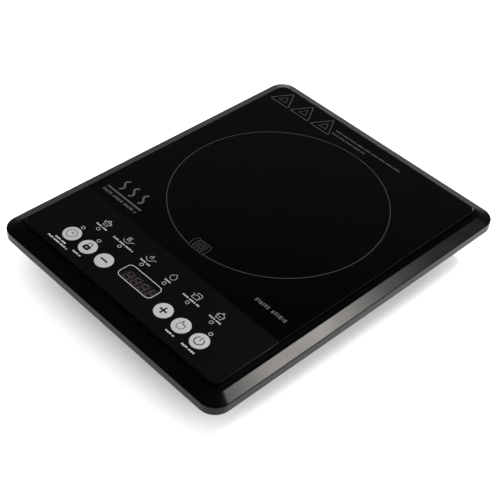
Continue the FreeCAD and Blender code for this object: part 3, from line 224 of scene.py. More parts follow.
def key_finish(name, colours):
    """Silver-grey lacquer with fine metal flakes in it, on a key cap."""
    made = Finish(name, IOR=1.5, Coat_Roughness=0.25, Coat_Weight=0.25)
    flake = made.cells(0.32)
    cloud = made.noise(4.0, 3.0)
    made.feed("Base Color", made.mix(made.ramp(flake, (0.1, 1.0), (0.6, 0.0)) * 0.6 + cloud * 0.4,
                                     shade(colours.key, 0.86), shade(colours.key, 1.10)))
    made.feed("Metallic", 0.12 + flake * 0.2)
    made.feed("Roughness", 0.42 + (cloud - 0.5) * 0.12)
    made.relief(flake, 0.0015)
    return made.material


def ink_finish(name, colour):
    """Printed ink: a thin, slightly uneven coat."""
    made = Finish(name, IOR=1.5, Specular_IOR_Level=0.15)
    dots = made.noise(0.25, 2.0)
    coat = made.noise(5.0, 3.0)
    made.feed("Base Color",
              made.mix(dots * 0.6 + coat * 0.4, shade(colour, 0.82), shade(colour, 1.14)))
    made.feed("Roughness", 0.5 + (dots - 0.5) * 0.2)
    made.relief(dots, 0.002)
    return made.material


def window_finish(name, colours):
    """Smoked window over the display: tinted so that the dark figures only just show through."""
    made = Finish(name, IOR=1.49, Alpha=0.42)
    haze = made.noise(8.0, 4.0)
    made.feed("Base Color", made.mix(haze, shade(colours.window, 0.8), shade(colours.window, 1.3)))
    made.feed("Roughness", 0.14 + (haze - 0.5) * 0.06)
    return made.material


def board_finish(name, mask, copper_under, pitch):
    """A circuit board: solder mask over straight tracks, with bare pads here and there."""
    made = Finish(name, IOR=1.5)
    tracks = made.cells(pitch, "CHEBYCHEV")
    waves_a_cell = 34.0
    lines = made.ramp((tracks * waves_a_cell).sine(), (0.35, 0.0), (0.5, 1.0))
    pads = made.ramp(made.cells(pitch * 1.7), (0.07, 1.0), (0.09, 0.0))
    weave = made.noise(0.6, 2.0, (1.0, 4.0, 1.0))
    masked = made.mix(lines, mask, copper_under)
    made.feed("Base Color", made.mix(pads, masked, (0.62, 0.61, 0.57)))
    made.feed("Metallic", pads * 0.9)
    made.feed("Roughness", 0.34 + weave * 0.12 - pads * 0.08)
    made.relief(lines * 0.6 + weave * 0.2 + pads * 0.4, 0.02)
    return made.material


def litz_finish(name, colours):
    """Enamelled copper strands twisted together, running round the coil."""
    made = Finish(name, Metallic=0.85)
    low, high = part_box("coil_winding")
    centre = (low + high) / 2
    about = made.node("ShaderNodeVectorMath", {"operation": "SUBTRACT"},
                      {0: made.place(), 1: centre})
    split = [made.node("ShaderNodeSeparateXYZ", {}, {0: about}, axis) for axis in ("X", "Y")]
    turn = split[1].maths("ARCTAN2", split[1], split[0])
    reach = (split[0] * split[0] + split[1] * split[1]) ** 0.5
    per_radian, per_metre = 260.0, 2600.0          # waves round the coil, and out from its middle
    strand = (turn * per_radian + reach * per_metre).sine() * 0.5 + 0.5
    made.feed("Base Color", made.mix(strand, shade(colours.copper, 0.45), colours.copper))
    made.feed("Roughness", 0.5 - strand * 0.2)
    made.relief(strand, 0.12)
    return made.material


def ferrite_finish(name):
    """Pressed and fired ferrite: dark grey, dry, with fine pits."""
    made = Finish(name, IOR=1.6)
    pits = made.ramp(made.cells(0.5), (0.1, 0.0), (0.4, 1.0))
    cloud = made.noise(3.0, 4.0)
    made.feed("Base Color", made.mix(pits * 0.5 + cloud * 0.5,
                                     (0.020, 0.020, 0.022), (0.060, 0.060, 0.064)))
    made.feed("Roughness", 0.62 + (cloud - 0.5) * 0.2)
    made.relief(pits, 0.03)
    return made.material


def mica_finish(name):
    """Pressed mica paper: pale flakes that lie at slightly different angles."""
    made = Finish(name, IOR=1.58)
    flakes = made.cells(1.8)
    cloud = made.noise(6.0, 5.0)
    made.feed("Base Color", made.mix(flakes * 0.5 + cloud * 0.5,
                                     (0.36, 0.29, 0.19), (0.62, 0.55, 0.42)))
    made.feed("Metallic", flakes * 0.25)
    made.feed("Roughness", 0.38 + cloud * 0.25)
    made.relief(flakes, 0.02)
    return made.material


def ribbed_finish(name, colour, pitch, axis, roughness, depth):
    """Insulation with ribs along one axis, such as a ribbon's cores or a sleeve's shrink marks."""
    made = Finish(name, IOR=1.5)
    along = made.node("ShaderNodeSeparateXYZ", {}, {0: made.place()}, axis)
    ribs = (along * (2 * math.pi / (pitch * MM))).sine() * 0.5 + 0.5
    cloud = made.noise(4.0, 3.0)
    made.feed("Base Color",
              made.mix(ribs * 0.6 + cloud * 0.4, shade(colour, 0.6), shade(colour, 1.1)))
    made.feed("Roughness", roughness + (cloud - 0.5) * 0.15)
    made.relief(ribs, depth)
    return made.material


def clear_finish(name):
    """Clear moulded resin, with a little cloud in it."""
    made = Finish(name, IOR=1.49, Transmission_Weight=0.7)
    cloud = made.noise(2.0, 3.0)
    made.feed("Base Color", made.mix(cloud, (0.72, 0.74, 0.75), (0.92, 0.93, 0.93)))
    made.feed("Roughness", 0.12 + cloud * 0.15)
    return made.material


def floor_finish(name, studio):
    """Plain pale studio paper."""
    made = Finish(name, Specular_IOR_Level=0.0)
    fibre = made.noise(1.5, 3.0)
    made.feed("Base Color",
              made.mix(fibre, shade(studio.floor_colour, 0.985), studio.floor_colour))
    made.feed("Roughness", 0.9 + fibre * 0.05)
    return made.material


# ---- settings ------------------------------------------------------------------------------------
def colour(name, description, default):
    return bpy.props.FloatVectorProperty(name=name, description=description, default=default,
                                         size=3, subtype="COLOR", min=0.0, max=1.0)


def length(name, description, default):
    """A length, given in millimetres and kept in metres."""
    return bpy.props.FloatProperty(name=name, description=description, default=default * MM,
                                   min=0.0, subtype="DISTANCE", unit="LENGTH", precision=5)


def room_place(name, description, default):
    """A place in the room, in metres."""
    return bpy.props.FloatVectorProperty(name=name, description=description, default=default,
                                         size=3, subtype="TRANSLATION", unit="LENGTH")


def angle(name, description, default):
    """An angle in radians."""
    return bpy.props.FloatProperty(name=name, description=description, default=default,
                                   subtype="ANGLE", unit="ROTATION")


def watts(name, description, default):
    """The power of a lamp."""
    return bpy.props.FloatProperty(name=name, description=description, default=default,
                                   min=0.0, subtype="POWER", unit="POWER")


def amount(name, description, default):
    """A brightness or a plain number."""
    return bpy.props.FloatProperty(name=name, description=description, default=default, min=0.0)


class CooktopColours(bpy.types.PropertyGroup):
    shell: colour("Frame", "Gloss plastic of the frame round the glass", (0.0006, 0.0006, 0.0007))
    tray: colour("Tray", "Plastic of the tray underneath", (0.006, 0.006, 0.0063))
    glass: colour("Glass", "Black ceramic glass", (0.0003, 0.0002, 0.0001))
    film: colour("Key deck", "Film on the key deck", (0.0006, 0.0005, 0.0007))
    window: colour("Window", "Smoked window over the display", (0.0016, 0.0014, 0.0014))
    key: colour("Keys", "Lacquer of the keys", (0.285, 0.283, 0.281))
    panel_ink: colour("Deck print", "Ink on the key deck", (0.29, 0.29, 0.282))
    glass_ink: colour("Glass print", "Enamel marks on the glass", (0.040, 0.039, 0.038))
    ring_ink: colour("Cooking ring", "Enamel line round the cooking zone", (0.028, 0.027, 0.026))
    key_ink: colour("Key marks", "Dark ink on the keys", (0.004, 0.004, 0.004))
    key_ink_light: colour("Pale key marks", "Grey ink on the keys", (0.016, 0.016, 0.016))
    digit: colour("Display figures", "Unlit segments of the display", (0.24, 0.19, 0.187))
    copper: colour("Copper", "Enamelled copper wire", (0.74, 0.33, 0.16))


class CooktopPrints(bpy.types.PropertyGroup):
    thickness: length("Ink thickness", "How far printed ink stands up", 0.03)
    ring_radius: length("Ring radius", "Middle of the line round the cooking zone", 101.2)
    ring_line: length("Ring line", "Width of that line", 0.58)
    icon_line: length("Picture line", "Line width of the cooking pictures", 0.38)
    panel_line: length("Outline", "Line width round the display", 0.52)
    lamp_line: length("Lamp ring line", "Line width round the lamps", 0.40)
    lamp_radius: length("Lamp ring", "Middle of the ring round a lamp", 1.65)
    word_height: length("Word height", "Height of a row of blocks", 1.7)
    picture_rise: length("Picture rise", "From a mode lamp to the middle of its picture", 10.6)
    word_rise: length("Word rise", "From a mode lamp to its row of blocks", 4.1)
    outline_inset: length("Outline inset", "From the window's edge to the line round it", 0.85)
    mode_row: length("Mode row", "From the deck's front edge to its row of mode lamps", 41.8)
    mode_pitch: length("Mode pitch", "From one mode lamp to the next", 29.3)
    key_lamp: length("Key lamp", "From the middle of a key to its lamp", 12.0)
    key_radius: length("Key radius", "Radius of a key's domed top", 8.15)
    key_dome: length("Key dome", "Height of that dome", 0.25)
    digit_height: length("Figure height", "Height of a figure in the display", 10.2)
    digit_pitch: length("Figure pitch", "From one figure to the next", 9.6)


class CooktopStudio(bpy.types.PropertyGroup):
    camera_place: room_place("Camera", "Where the camera stands", (0.542685, -0.577859, 0.749637))
    azimuth: angle("Azimuth", "How far round the camera stands", 0.756)
    elevation: angle("Elevation", "How steeply it looks down", 0.748)
    roll: angle("Roll", "How far it leans", 0.081)
    lens: amount("Lens", "Focal length in mm, on a sensor 36 mm wide", 84.97)
    floor_size: length("Floor", "Side of the floor", 9000.0)
    floor_colour: colour("Floor colour", "Paper of the floor", (0.90, 0.90, 0.90))
    softbox_power: watts("Softbox", "The lamp that the frame mirrors", 31.0)
    softbox_place: room_place("Softbox place", "Where it hangs", (0.410, 0.935, 1.650))
    softbox_target: room_place("Softbox target", "What it points at", (0.135, -0.06, 0.055))
    side_power: watts("Side lamp", "A lamp at the right that only lights", 2.0)
    side_place: room_place("Side lamp place", "Where it stands", (0.55, -0.45, 0.55))
    side_target: room_place("Side lamp target", "What it points at", (0.05, -0.14, 0.055))
    lamp_colour: colour("Lamp colour", "Slightly warm light of both lamps", (1.0, 0.96, 0.92))
    daylight: amount("Daylight", "Even light from the white room all round", 1.95)
    horizon: amount("Horizon", "Brightness of the walls as gloss mirrors them", 0.50)
    ceiling: amount("Ceiling", "Brightness of the room overhead", 0.003)


# ---- printed lines -------------------------------------------------------------------------------
def arc(x, y, radius, start, end, tall=None, steps=None):
    """Points on an arc between two angles in degrees."""
    tall = radius if tall is None else tall
    steps = steps or max(4, round(abs(end - start) / 8))
    turns = [math.radians(start + (end - start) * i / steps) for i in range(steps + 1)]
    return [(x + radius * math.cos(t), y + tall * math.sin(t)) for t in turns]


def ring(x, y, radius, steps=32):
    """Points round a circle, for a closed line."""
    return arc(x, y, radius, 0, 360, steps=steps)[:-1]


def rounded(corners, radius, steps=6):
    """A closed outline with its corners rounded."""
    made = []
    for i, here in enumerate(corners):
        here = Vector(here)
        before = Vector(corners[i - 1]) - here
        after = Vector(corners[(i + 1) % len(corners)]) - here
        a = here + before.normalized() * radius
        b = here + after.normalized() * radius
        for k in range(steps + 1):
            t = k / steps
            made.append(tuple(a * (1 - t) ** 2 + here * (2 * t * (1 - t)) + b * t ** 2))
    return made


def box_corners(x, y, half_x, half_y):
    return [(x - half_x, y - half_y), (x + half_x, y - half_y),
            (x + half_x, y + half_y), (x - half_x, y + half_y)]


def moved(points, x, y, share=1.0):
    """A path scaled and carried to a new place."""
    return [(x + px * share, y + py * share) for px, py in points]


def divided(points, closed, step):
    """The same path with no stretch longer than a step."""
    ends = points[1:] + points[:1] if closed else points[1:]
    made = []
    for a, b in zip(points, ends):
        a, b = Vector(a), Vector(b)
        count = max(1, math.ceil((b - a).length / step))
        made += [tuple(a.lerp(b, i / count)) for i in range(count)]
    if not closed:
        made.append(tuple(points[-1]))
    return made


class Ink:
    """Printed lines and patches gathered into one mesh of thin closed solids. Sizes are in mm."""

    def __init__(self, surface, thickness, domed=False):
        self.surface = surface          # height of the surface at a point
        self.thickness = thickness
        self.domed = domed
        self.points = []
        self.faces = []

    def line(self, path, width, closed=False):
        """A line of even width along a path, mitred where it turns."""
        path = divided(path, closed, SMOOTH_STEP) if self.domed else path
        columns = max(1, math.ceil(width / SMOOTH_STEP)) if self.domed else 1
        rows = []
        last = len(path) - 1
        for i, here in enumerate(path):
            sides = []
            for a, b in ((i - 1, i), (i, i + 1)):
                if closed or (a >= 0 and b <= last):
                    along = Vector(path[b % len(path)]) - Vector(path[a % len(path)])
                    sides.append(Vector((-along.y, along.x)).normalized())
            middle = (sides[0] + sides[-1]).normalized()
            side = middle * (width / 2 / max(0.5, middle.dot(sides[0])))
            here = Vector(here)
            rows.append([here + side * (1 - 2 * k / columns) for k in range(columns + 1)])
        self.solid(rows, closed)

    def solid(self, rows, closed):
        """A thin closed solid over a grid of points."""
        first = len(self.points)
        tall, wide = len(rows), len(rows[0])
        for level in (self.thickness, -self.thickness):
            self.points += [(x, y, self.surface(x, y) + level) for row in rows for x, y in row]

        def top(row, column):
            return first + (row % tall) * wide + column

        def under(row, column):
            return top(row, column) + tall * wide

        for r in range(tall if closed else tall - 1):
            for c in range(wide - 1):
                self.faces.append((top(r, c), top(r + 1, c), top(r + 1, c + 1), top(r, c + 1)))
                self.faces.append((under(r, c), under(r, c + 1),
                                   under(r + 1, c + 1), under(r + 1, c)))
            for c in (0, wide - 1):
                self.faces.append((top(r, c), top(r + 1, c), under(r + 1, c), under(r, c)))
        if not closed:
            for r in (0, tall - 1):
                for c in range(wide - 1):
                    self.faces.append((top(r, c), top(r, c + 1), under(r, c + 1), under(r, c)))

    def patch(self, outline):
        """A filled shape on a flat surface."""
        first = len(self.points)
        count = len(outline)
        for level in (self.thickness, -self.thickness):
            self.points += [(x, y, self.surface(x, y) + level) for x, y in outline]
        self.faces.append(tuple(range(first, first + count)))
        self.faces.append(tuple(range(first + 2 * count - 1, first + count - 1, -1)))
        for i in range(count):
            after = (i + 1) % count
            self.faces.append((first + i, first + count + i, first + count + after, first + after))

    def blocks(self, x, y, width, height):
        """A row of small blocks of uneven widths, which stands for a word."""
        widths = (1.0, 0.6, 1.5, 0.6, 1.1, 0.9, 1.3)       # for a row 2.2 tall
        gap, word_gap, blocks_a_word, narrowest = 0.55, 2.0, 6, 0.3
        share = height / 2.2
        left, end = x - width / 2, x + width / 2
        i = 0
        while left < end - narrowest * share:
            right = min(left + widths[i % len(widths)] * share, end)
            low = y - height / 2 + (0.14 * height if i % 3 == 1 else 0.0)
            high = y + height / 2 - (0.16 * height if i % 4 == 2 else 0.0)
            self.patch([(left, low), (right, low), (right, high), (left, high)])
            i += 1
            left = right + (gap if i % blocks_a_word else word_gap) * share

    def piece(self, name, finish, body, slot):
        """Makes the printed piece, on a body of the frame."""
        mesh = bpy.data.meshes.new(name)
        mesh.from_pydata([(x * MM, y * MM, z * MM) for x, y, z in self.points], [], self.faces)
        work = bmesh.new()
        work.from_mesh(mesh)
        bmesh.ops.recalc_face_normals(work, faces=work.faces)
        work.to_mesh(mesh)
        work.free()
        mesh.materials.append(finish)
        made = bpy.data.objects.new(name, mesh)
        bpy.context.scene.collection.objects.link(made)
        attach(made, body)
        return made


def flat_ink(node, prints, drop=0.0):
    """Ink that lies on a node's level top."""
    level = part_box(node)[1].z / MM - drop
    return Ink(lambda x, y: level, prints.thickness / MM)


def middle_of(node):
    """The middle of a node's box, in mm."""
    low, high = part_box(node)
    return (low + high) / (2 * MM)


# ---- what is dressed -----------------------------------------------------------------------------
def dress(finishes):
    """Gives every CAD node of a material slot its finish."""
    for row in frame["record"]["subparts"]:
        finish = finishes.get(row["material_slot"])
        if finish is not None:
            mesh = frame["nodes"][row["node"]].data
            mesh.materials.clear()
            mesh.materials.append(finish)


class COOKTOP_OT_shell(bpy.types.Operator):
    """Finish the frame, the tray, the feet and the cord gland"""

    bl_idname = "cooktop.shell"
    bl_label = "Frame and tray"

    def execute(self, context):
        colours = context.scene.cooktop_colours
        dress({
            "frame_plastic": moulded("frame_plastic_gloss", colours.shell, 0.21, 0.6, 0.0010,
                                     Specular_IOR_Level=0.11),
            "tray_plastic": moulded("tray_plastic_textured", colours.tray, 0.50, 0.45, 0.02,
                                    IOR=1.5),
            "foot_rubber": moulded("foot_rubber_matt", (0.018, 0.018, 0.018), 0.75, 0.3, 0.012),
        })
        return {"FINISHED"}


class COOKTOP_OT_glass(bpy.types.Operator):
    """Finish the glass plate and the silicone under it"""

    bl_idname = "cooktop.glass"
    bl_label = "Glass plate"

    def execute(self, context):
        colours = context.scene.cooktop_colours
        dress({
            "black_glass": glass_finish("black_ceramic_glass", colours),
            "silicone": moulded("silicone_dark", (0.02, 0.02, 0.02), 0.55, 0.8, 0.01),
        })
        return {"FINISHED"}


class COOKTOP_OT_deck(bpy.types.Operator):
    """Finish the key deck's film, its window and the keys"""

    bl_idname = "cooktop.deck"
    bl_label = "Key deck and keys"

    def execute(self, context):
        colours = context.scene.cooktop_colours
        dress({
            "panel_film": film_finish("deck_film_velvet", colours),
            "smoked_window": window_finish("display_window_smoked", colours),
            "silver_key": key_finish("key_lacquer_silver", colours),
        })
        return {"FINISHED"}


class COOKTOP_OT_coil(bpy.types.Operator):
    """Finish the coil, its former, the ferrite bars, the mica sheet and the leads"""

    bl_idname = "cooktop.coil"
    bl_label = "Coil"

    def execute(self, context):
        colours = context.scene.cooktop_colours
        dress({
            "copper": litz_finish("copper_litz", colours),
            "former_plastic": moulded("former_glass_filled", (0.62, 0.60, 0.54), 0.55, 0.35, 0.02),
            "ferrite": ferrite_finish("ferrite_fired"),
            "mica": mica_finish("mica_paper"),
            "lead_insulation": ribbed_finish("lead_sleeve", (0.75, 0.72, 0.66), 0.8, "Z",
                                             0.6, 0.05),
        })
        return {"FINISHED"}


class COOKTOP_OT_boards(bpy.types.Operator):
    """Finish the two boards and everything that is soldered to them"""

    bl_idname = "cooktop.boards"
    bl_label = "Boards"

    def execute(self, context):
        dress({
            "circuit_board": board_finish("board_green", (0.012, 0.070, 0.030),
                                          (0.030, 0.14, 0.05), 6.0),
            "phenolic_board": board_finish("board_phenolic", (0.34, 0.20, 0.085),
                                           (0.42, 0.27, 0.12), 11.0),
            "black_component": moulded("component_epoxy", (0.018, 0.018, 0.019), 0.52, 0.25, 0.01),
            "clear_plastic": clear_finish("lamp_resin_clear"),
            "capacitor_case": moulded("capacitor_box", (0.62, 0.50, 0.07), 0.42, 0.5, 0.006),
            "capacitor_sleeve": ribbed_finish("capacitor_sleeve", (0.012, 0.018, 0.05), 1.6,
                                              "Z", 0.35, 0.02),
            "ribbon": ribbed_finish("ribbon_cores", (0.50, 0.50, 0.49), 1.27, "X", 0.45, 0.12),
            "terminal_plastic": moulded("terminal_nylon", (0.70, 0.70, 0.66), 0.45, 0.6, 0.008),
            "aluminium": worked_metal("heat_sink_extruded", (0.80, 0.81, 0.82), 0.36,
                                      (1.0, 0.04, 1.0)),
        })
        return {"FINISHED"}


class COOKTOP_OT_fan(bpy.types.Operator):
    """Finish the fan's frame, wheel and bearing"""

    bl_idname = "cooktop.fan"
    bl_label = "Fan"

    def execute(self, context):
        dress({
            "fan_plastic": moulded("fan_plastic_satin", (0.014, 0.014, 0.015), 0.38, 0.7, 0.006,
                                   IOR=1.5),
            "bronze": worked_metal("bearing_bronze", (0.55, 0.36, 0.17), 0.42, (1.0, 1.0, 0.1)),
        })
        return {"FINISHED"}


class COOKTOP_OT_fasteners(bpy.types.Operator):
    """Finish the screws, the key switches, the fuse and the fan's shaft"""

    bl_idname = "cooktop.fasteners"
    bl_label = "Screws and small metal"

    def execute(self, context):
        dress({"plated_steel": worked_metal("zinc_plated_steel", (0.58, 0.58, 0.55), 0.33,
                                            grain=0.3)})
        return {"FINISHED"}


# ---- marks on the glass --------------------------------------------------------------------------
class COOKTOP_OT_cooking_ring(bpy.types.Operator):
    """Print the line round the cooking zone, with the coil sign at its front"""

    bl_idname = "cooktop.cooking_ring"
    bl_label = "Cooking ring"

    def execute(self, context):
        prints = context.scene.cooktop_prints
        colours = context.scene.cooktop_colours
        mount = next(m for m in frame["record"]["mounts"] if m["name"] == "cooking_surface")
        x, y = (c / MM for c in mount["pos_m"][:2])
        radius, width = prints.ring_radius / MM, prints.ring_line / MM
        opening = 5.0                      # half of the angle that the sign takes out of the ring
        ink = flat_ink("glass_plate", prints)
        ink.line(arc(x, y, radius, -90 + opening, 270 - opening, steps=240), width)
        foot = y - radius * math.cos(math.radians(opening))
        half = radius * math.sin(math.radians(opening))
        loops, loop_width, loop_height = 5, 5.6, 13.0
        sunk, spread, thin = 0.42, 1.15, 0.7           # shares of the loop, its pitch and the line
        for i in range(loops):
            middle = x + (2 * half - loop_width) * (i / (loops - 1) - 0.5) * spread
            loop = arc(middle, foot + loop_height * sunk, loop_width / 2, 0, 360,
                       loop_height / 2, 32)
            ink.line(loop[:-1], width * thin, closed=True)
        finish = ink_finish("ring_enamel", colours.ring_ink)
        ink.piece("cooking_ring_print", finish, "base", "glass_enamel")
        return {"FINISHED"}


class COOKTOP_OT_glass_marks(bpy.types.Operator):
    """Print the plain signs on the glass: heat waves, a row of blocks, triangles and their notes"""

    bl_idname = "cooktop.glass_marks"
    bl_label = "Signs on the glass"

    def execute(self, context):
        prints = context.scene.cooktop_prints
        colours = context.scene.cooktop_colours
        finish = ink_finish("glass_enamel_grey", colours.glass_ink)
        low, high = (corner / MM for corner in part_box("glass_plate"))
        front, back = (low.x, low.y), (low.x, high.y)          # the glass's corners at the left
        waves = flat_ink("glass_plate", prints)
        wave = [(2.4 * math.sin(k * math.pi / 9), 14.0 * k / 18) for k in range(19)]
        for across in (20.5, 33.5, 46.5):
            waves.line(moved(moved(wave, across, 20.9), *front), 2.0)
        waves.line(moved([(10.5, 16.4), (56.5, 16.4)], *front), 1.8)
        waves.blocks(low.x + 33.5, low.y + 11.2, 46.0, 3.0)
        waves.piece("heat_sign_print", finish, "base", "glass_enamel")
        words = flat_ink("glass_plate", prints)
        words.blocks(high.x - 29.0, low.y + 19.4, 37.0, 4.0)
        words.piece("glass_word_blocks", finish, "base", "glass_enamel")
        signs = flat_ink("glass_plate", prints)
        outer = rounded([(-12.4, -24.9), (12.4, -24.9), (0.0, -3.5)], 2.4)
        inner = rounded([(-5.0, -20.5), (5.0, -20.5), (0.0, -11.9)], 1.2)
        for across in (18.0, 45.5, 73.5):
            signs.line(moved(moved(outer, across, 0.0), *back), 0.65, closed=True)
            signs.line(moved(moved(inner, across, 0.0), *back), 0.42, closed=True)
        signs.piece("triangle_sign_prints", finish, "base", "glass_enamel")
        notes = flat_ink("glass_plate", prints)
        notes.blocks(low.x + 127.5, high.y - 14.0, 82.0, 1.9)
        notes.blocks(low.x + 107.5, high.y - 19.5, 42.0, 1.9)
        notes.piece("note_line_blocks", finish, "base", "glass_enamel")
        return {"FINISHED"}


# ---- marks on the key deck -----------------------------------------------------------------------
def stock_pot():
    return [([(-3.1, 0.4), (-2.3, -3.6), (2.3, -3.6), (3.1, 0.4)], False),
            ([(-4.8, 1.2), (4.8, 1.2)], False),
            ([(-4.6, 1.1), (-3.4, -0.6)], False), ([(4.6, 1.1), (3.4, -0.6)], False),
            (arc(0, 1.2, 2.5, 180, 0, 1.7), False), (ring(0, 3.7, 0.7, 12), True),
            ([(-1.5, -1.3), (1.5, -1.3)], False)]


def steaming_pan():
    return [(arc(-1.2, -0.6, 4.2, 185, 355, 2.9), False),
            ([(3.0, -0.7), (4.2, 0.5), (6.2, 0.7)], False),
            ([(-2.8, -0.2), (-2.8, 1.6), (0.4, 1.6), (0.4, -0.2)], True),
            (arc(-2.4, 3.0, 0.7, 90, 270), False), (arc(-2.4, 3.9, 0.5, 270, 450), False),
            (arc(-0.2, 3.0, 0.7, 90, 270), False), (arc(-0.2, 3.9, 0.5, 270, 450), False)]


def frying_pan():
    return [(arc(-0.8, 0.2, 4.0, 190, 350, 3.6), False),
            ([(3.0, 0.0), (4.4, 1.1), (5.9, 0.6)], False),
            (arc(-0.8, 1.2, 1.5, -60, 240), False), (arc(-0.8, 3.2, 0.8, -90, 110), False)]


def drop():
    return [([(0.0, 4.6), (-1.2, 2.9)] + arc(0, -0.2, 3.1, 150, 390, 3.2) + [(1.2, 2.9)], True),
            ([(-0.9, 3.2), (0.0, 4.4), (0.9, 3.2)], False)]


def kettle():
    body = rounded([(-3.9, -3.4), (3.7, -3.4), (2.5, 1.1), (-1.2, 1.1), (-2.9, -0.4)], 0.8, 3)
    return [(body, True),
            ([(-2.2, 2.2), (-1.4, 3.8), (2.6, 3.8), (4.1, 2.9), (4.1, -2.0)], False),
            ([(-3.1, -0.6), (-4.9, 1.5)], False)]


def cooker():
    return [(rounded([(-3.1, -3.7), (3.1, -3.7), (3.1, 1.0), (-3.1, 1.0)], 0.8, 3), True),
            ([(-4.3, 1.0), (4.3, 1.0)], False), (arc(0, 1.2, 2.6, 180, 0, 1.3), False),
            ([(-1.0, 4.4), (0.0, 2.6), (1.0, 4.4)], False), ([(-4.4, -0.8), (-3.2, -0.8)], False),
            ([(4.4, -0.8), (3.2, -0.8)], False), ([(-1.6, -1.4), (1.6, -1.4)], False)]


class COOKTOP_OT_mode_prints(bpy.types.Operator):
    """Print the row of cooking pictures, each with its blocks and lamp ring"""

    bl_idname = "cooktop.mode_prints"
    bl_label = "Cooking pictures"

    def execute(self, context):
        prints = context.scene.cooktop_prints
        ink_colour = shade(context.scene.cooktop_colours.panel_ink, 0.85)
        finish = ink_finish("panel_ink_grey", ink_colour)
        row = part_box("control_overlay")[0].y / MM + prints.mode_row / MM
        pictures = (("stock_pot", stock_pot(), 14.0), ("steaming_pan", steaming_pan(), 26.0),
                    ("frying_pan", frying_pan(), 12.0), ("drop", drop(), 7.0),
                    ("kettle", kettle(), 20.0), ("cooker", cooker(), 14.0))
        for i, (name, picture, word) in enumerate(pictures):
            x = (i - (len(pictures) - 1) / 2) * prints.mode_pitch / MM
            ink = flat_ink("control_overlay", prints)
            for path, closed in picture:
                ink.line(moved(path, x, row + prints.picture_rise / MM, PICTURE_SCALE),
                         prints.icon_line / MM, closed)
            ink.blocks(x, row + prints.word_rise / MM, word, prints.word_height / MM)
            ink.line(ring(x, row, prints.lamp_radius / MM), prints.lamp_line / MM, closed=True)
            ink.piece("picture_" + name, finish, "base", "panel_ink")
        return {"FINISHED"}


class COOKTOP_OT_key_surrounds(bpy.types.Operator):
    """Print the blocks under the keys, the rings of their lamps and the line round the display"""

    bl_idname = "cooktop.key_surrounds"
    bl_label = "Key words and display line"

    def execute(self, context):
        prints = context.scene.cooktop_prints
        finish = ink_finish("panel_ink_white", context.scene.cooktop_colours.panel_ink)
        words = {"timer": ((14.0, 12.1), (26.0, 15.5)), "lock": ((10.0, 12.1),),
                 "menu": ((10.0, 12.1),), "power": ((15.5, 12.1),)}      # widths, and how far down
        ink = flat_ink("control_overlay", prints)
        for name, rows in words.items():
            key = middle_of("key_" + name)
            for width, down in rows:
                ink.blocks(key.x, key.y - down, width, prints.word_height / MM)
        ink.piece("key_word_blocks", finish, "base", "panel_ink")
        rings = flat_ink("control_overlay", prints)
        for name in ("timer", "lock", "power"):
            key = middle_of("key_" + name)
            rings.line(ring(key.x, key.y + prints.key_lamp / MM, prints.lamp_radius / MM),
                       prints.lamp_line / MM, closed=True)
        rings.piece("key_lamp_rings", finish, "base", "panel_ink")
        outline = flat_ink("control_overlay", prints)
        window = middle_of("display_lens")
        low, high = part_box("display_lens")
        half_x = (high.x - low.x) / (2 * MM) - prints.outline_inset / MM
        half_y = (high.y - low.y) / (2 * MM) - prints.outline_inset / MM
        corner = 5.4
        outline.line(rounded(box_corners(window.x, window.y, half_x, half_y), corner, 8),
                     prints.panel_line / MM, closed=True)
        outline.piece("display_outline_print", finish, "base", "panel_ink")
        return {"FINISHED"}


def clock_mark():
    return [(ring(0, 0, 4.9, 40), 0.62, True), ([(0, 3.0), (0, 0), (2.3, 0)], 0.7, False)]


def lock_mark():
    return [(rounded(box_corners(0, -1.5, 2.4, 1.6), 0.5, 3), 2.4, True),
            ([(-1.9, 1.2), (-1.9, 3.0)] + arc(0, 3.0, 1.9, 180, 0) + [(1.9, 3.0), (1.9, 1.2)],
             0.8, False)]


def minus_mark():
    return [([(-4.3, 0), (4.3, 0)], 1.7, False)]


def plus_mark():
    return [([(-4.1, 0), (4.1, 0)], 1.7, False), ([(0, -4.1), (0, 4.1)], 1.7, False)]


def hand_mark():
    outline = [(-3.2, 0.6), (-3.2, -2.2), (-2.0, -4.0), (2.2, -4.0), (3.6, -2.0), (3.8, 1.6),
               (2.6, 2.2), (1.4, 1.9), (0.4, 2.4), (-0.8, 2.0), (-0.9, 4.4), (-2.1, 4.6),
               (-2.3, 1.0)]
    return [(rounded(outline, 0.4, 2), 0.62, True), ([(0.5, 2.2), (0.5, 0.8)], 0.5, False),
            ([(2.0, 2.0), (2.0, 0.8)], 0.5, False)]


def power_mark():
    return [(arc(0, -0.3, 4.3, 122, 418), 0.95, False), ([(0, 4.6), (0, 0.0)], 0.95, False)]


class COOKTOP_OT_key_marks(bpy.types.Operator):
    """Print the mark on each key, so that it moves with the key"""

    bl_idname = "cooktop.key_marks"
    bl_label = "Marks on the keys"

    def execute(self, context):
        prints = context.scene.cooktop_prints
        colours = context.scene.cooktop_colours
        dark = ink_finish("key_ink_dark", colours.key_ink)
        pale = ink_finish("key_ink_grey", colours.key_ink_light)
        marks = {"timer": (clock_mark(), pale), "lock": (lock_mark(), dark),
                 "minus": (minus_mark(), dark), "plus": (plus_mark(), dark),
                 "menu": (hand_mark(), pale), "power": (power_mark(), pale)}
        rim, rise = prints.key_radius / MM, prints.key_dome / MM
        ball = (rim ** 2 + rise ** 2) / (2 * rise)
        for name in KEY_NAMES:
            key = middle_of("key_" + name)
            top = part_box("key_" + name)[1].z / MM

            def dome(x, y, key=key, top=top):
                return top - ball + math.sqrt(ball ** 2 - (x - key.x) ** 2 - (y - key.y) ** 2)

            mark, finish = marks[name]
            ink = Ink(dome, prints.thickness / MM, domed=True)
            for path, width, closed in mark:
                ink.line(moved(path, key.x, key.y), width, closed)
            ink.piece("mark_" + name, finish, name + "_key", "key_ink")
        return {"FINISHED"}


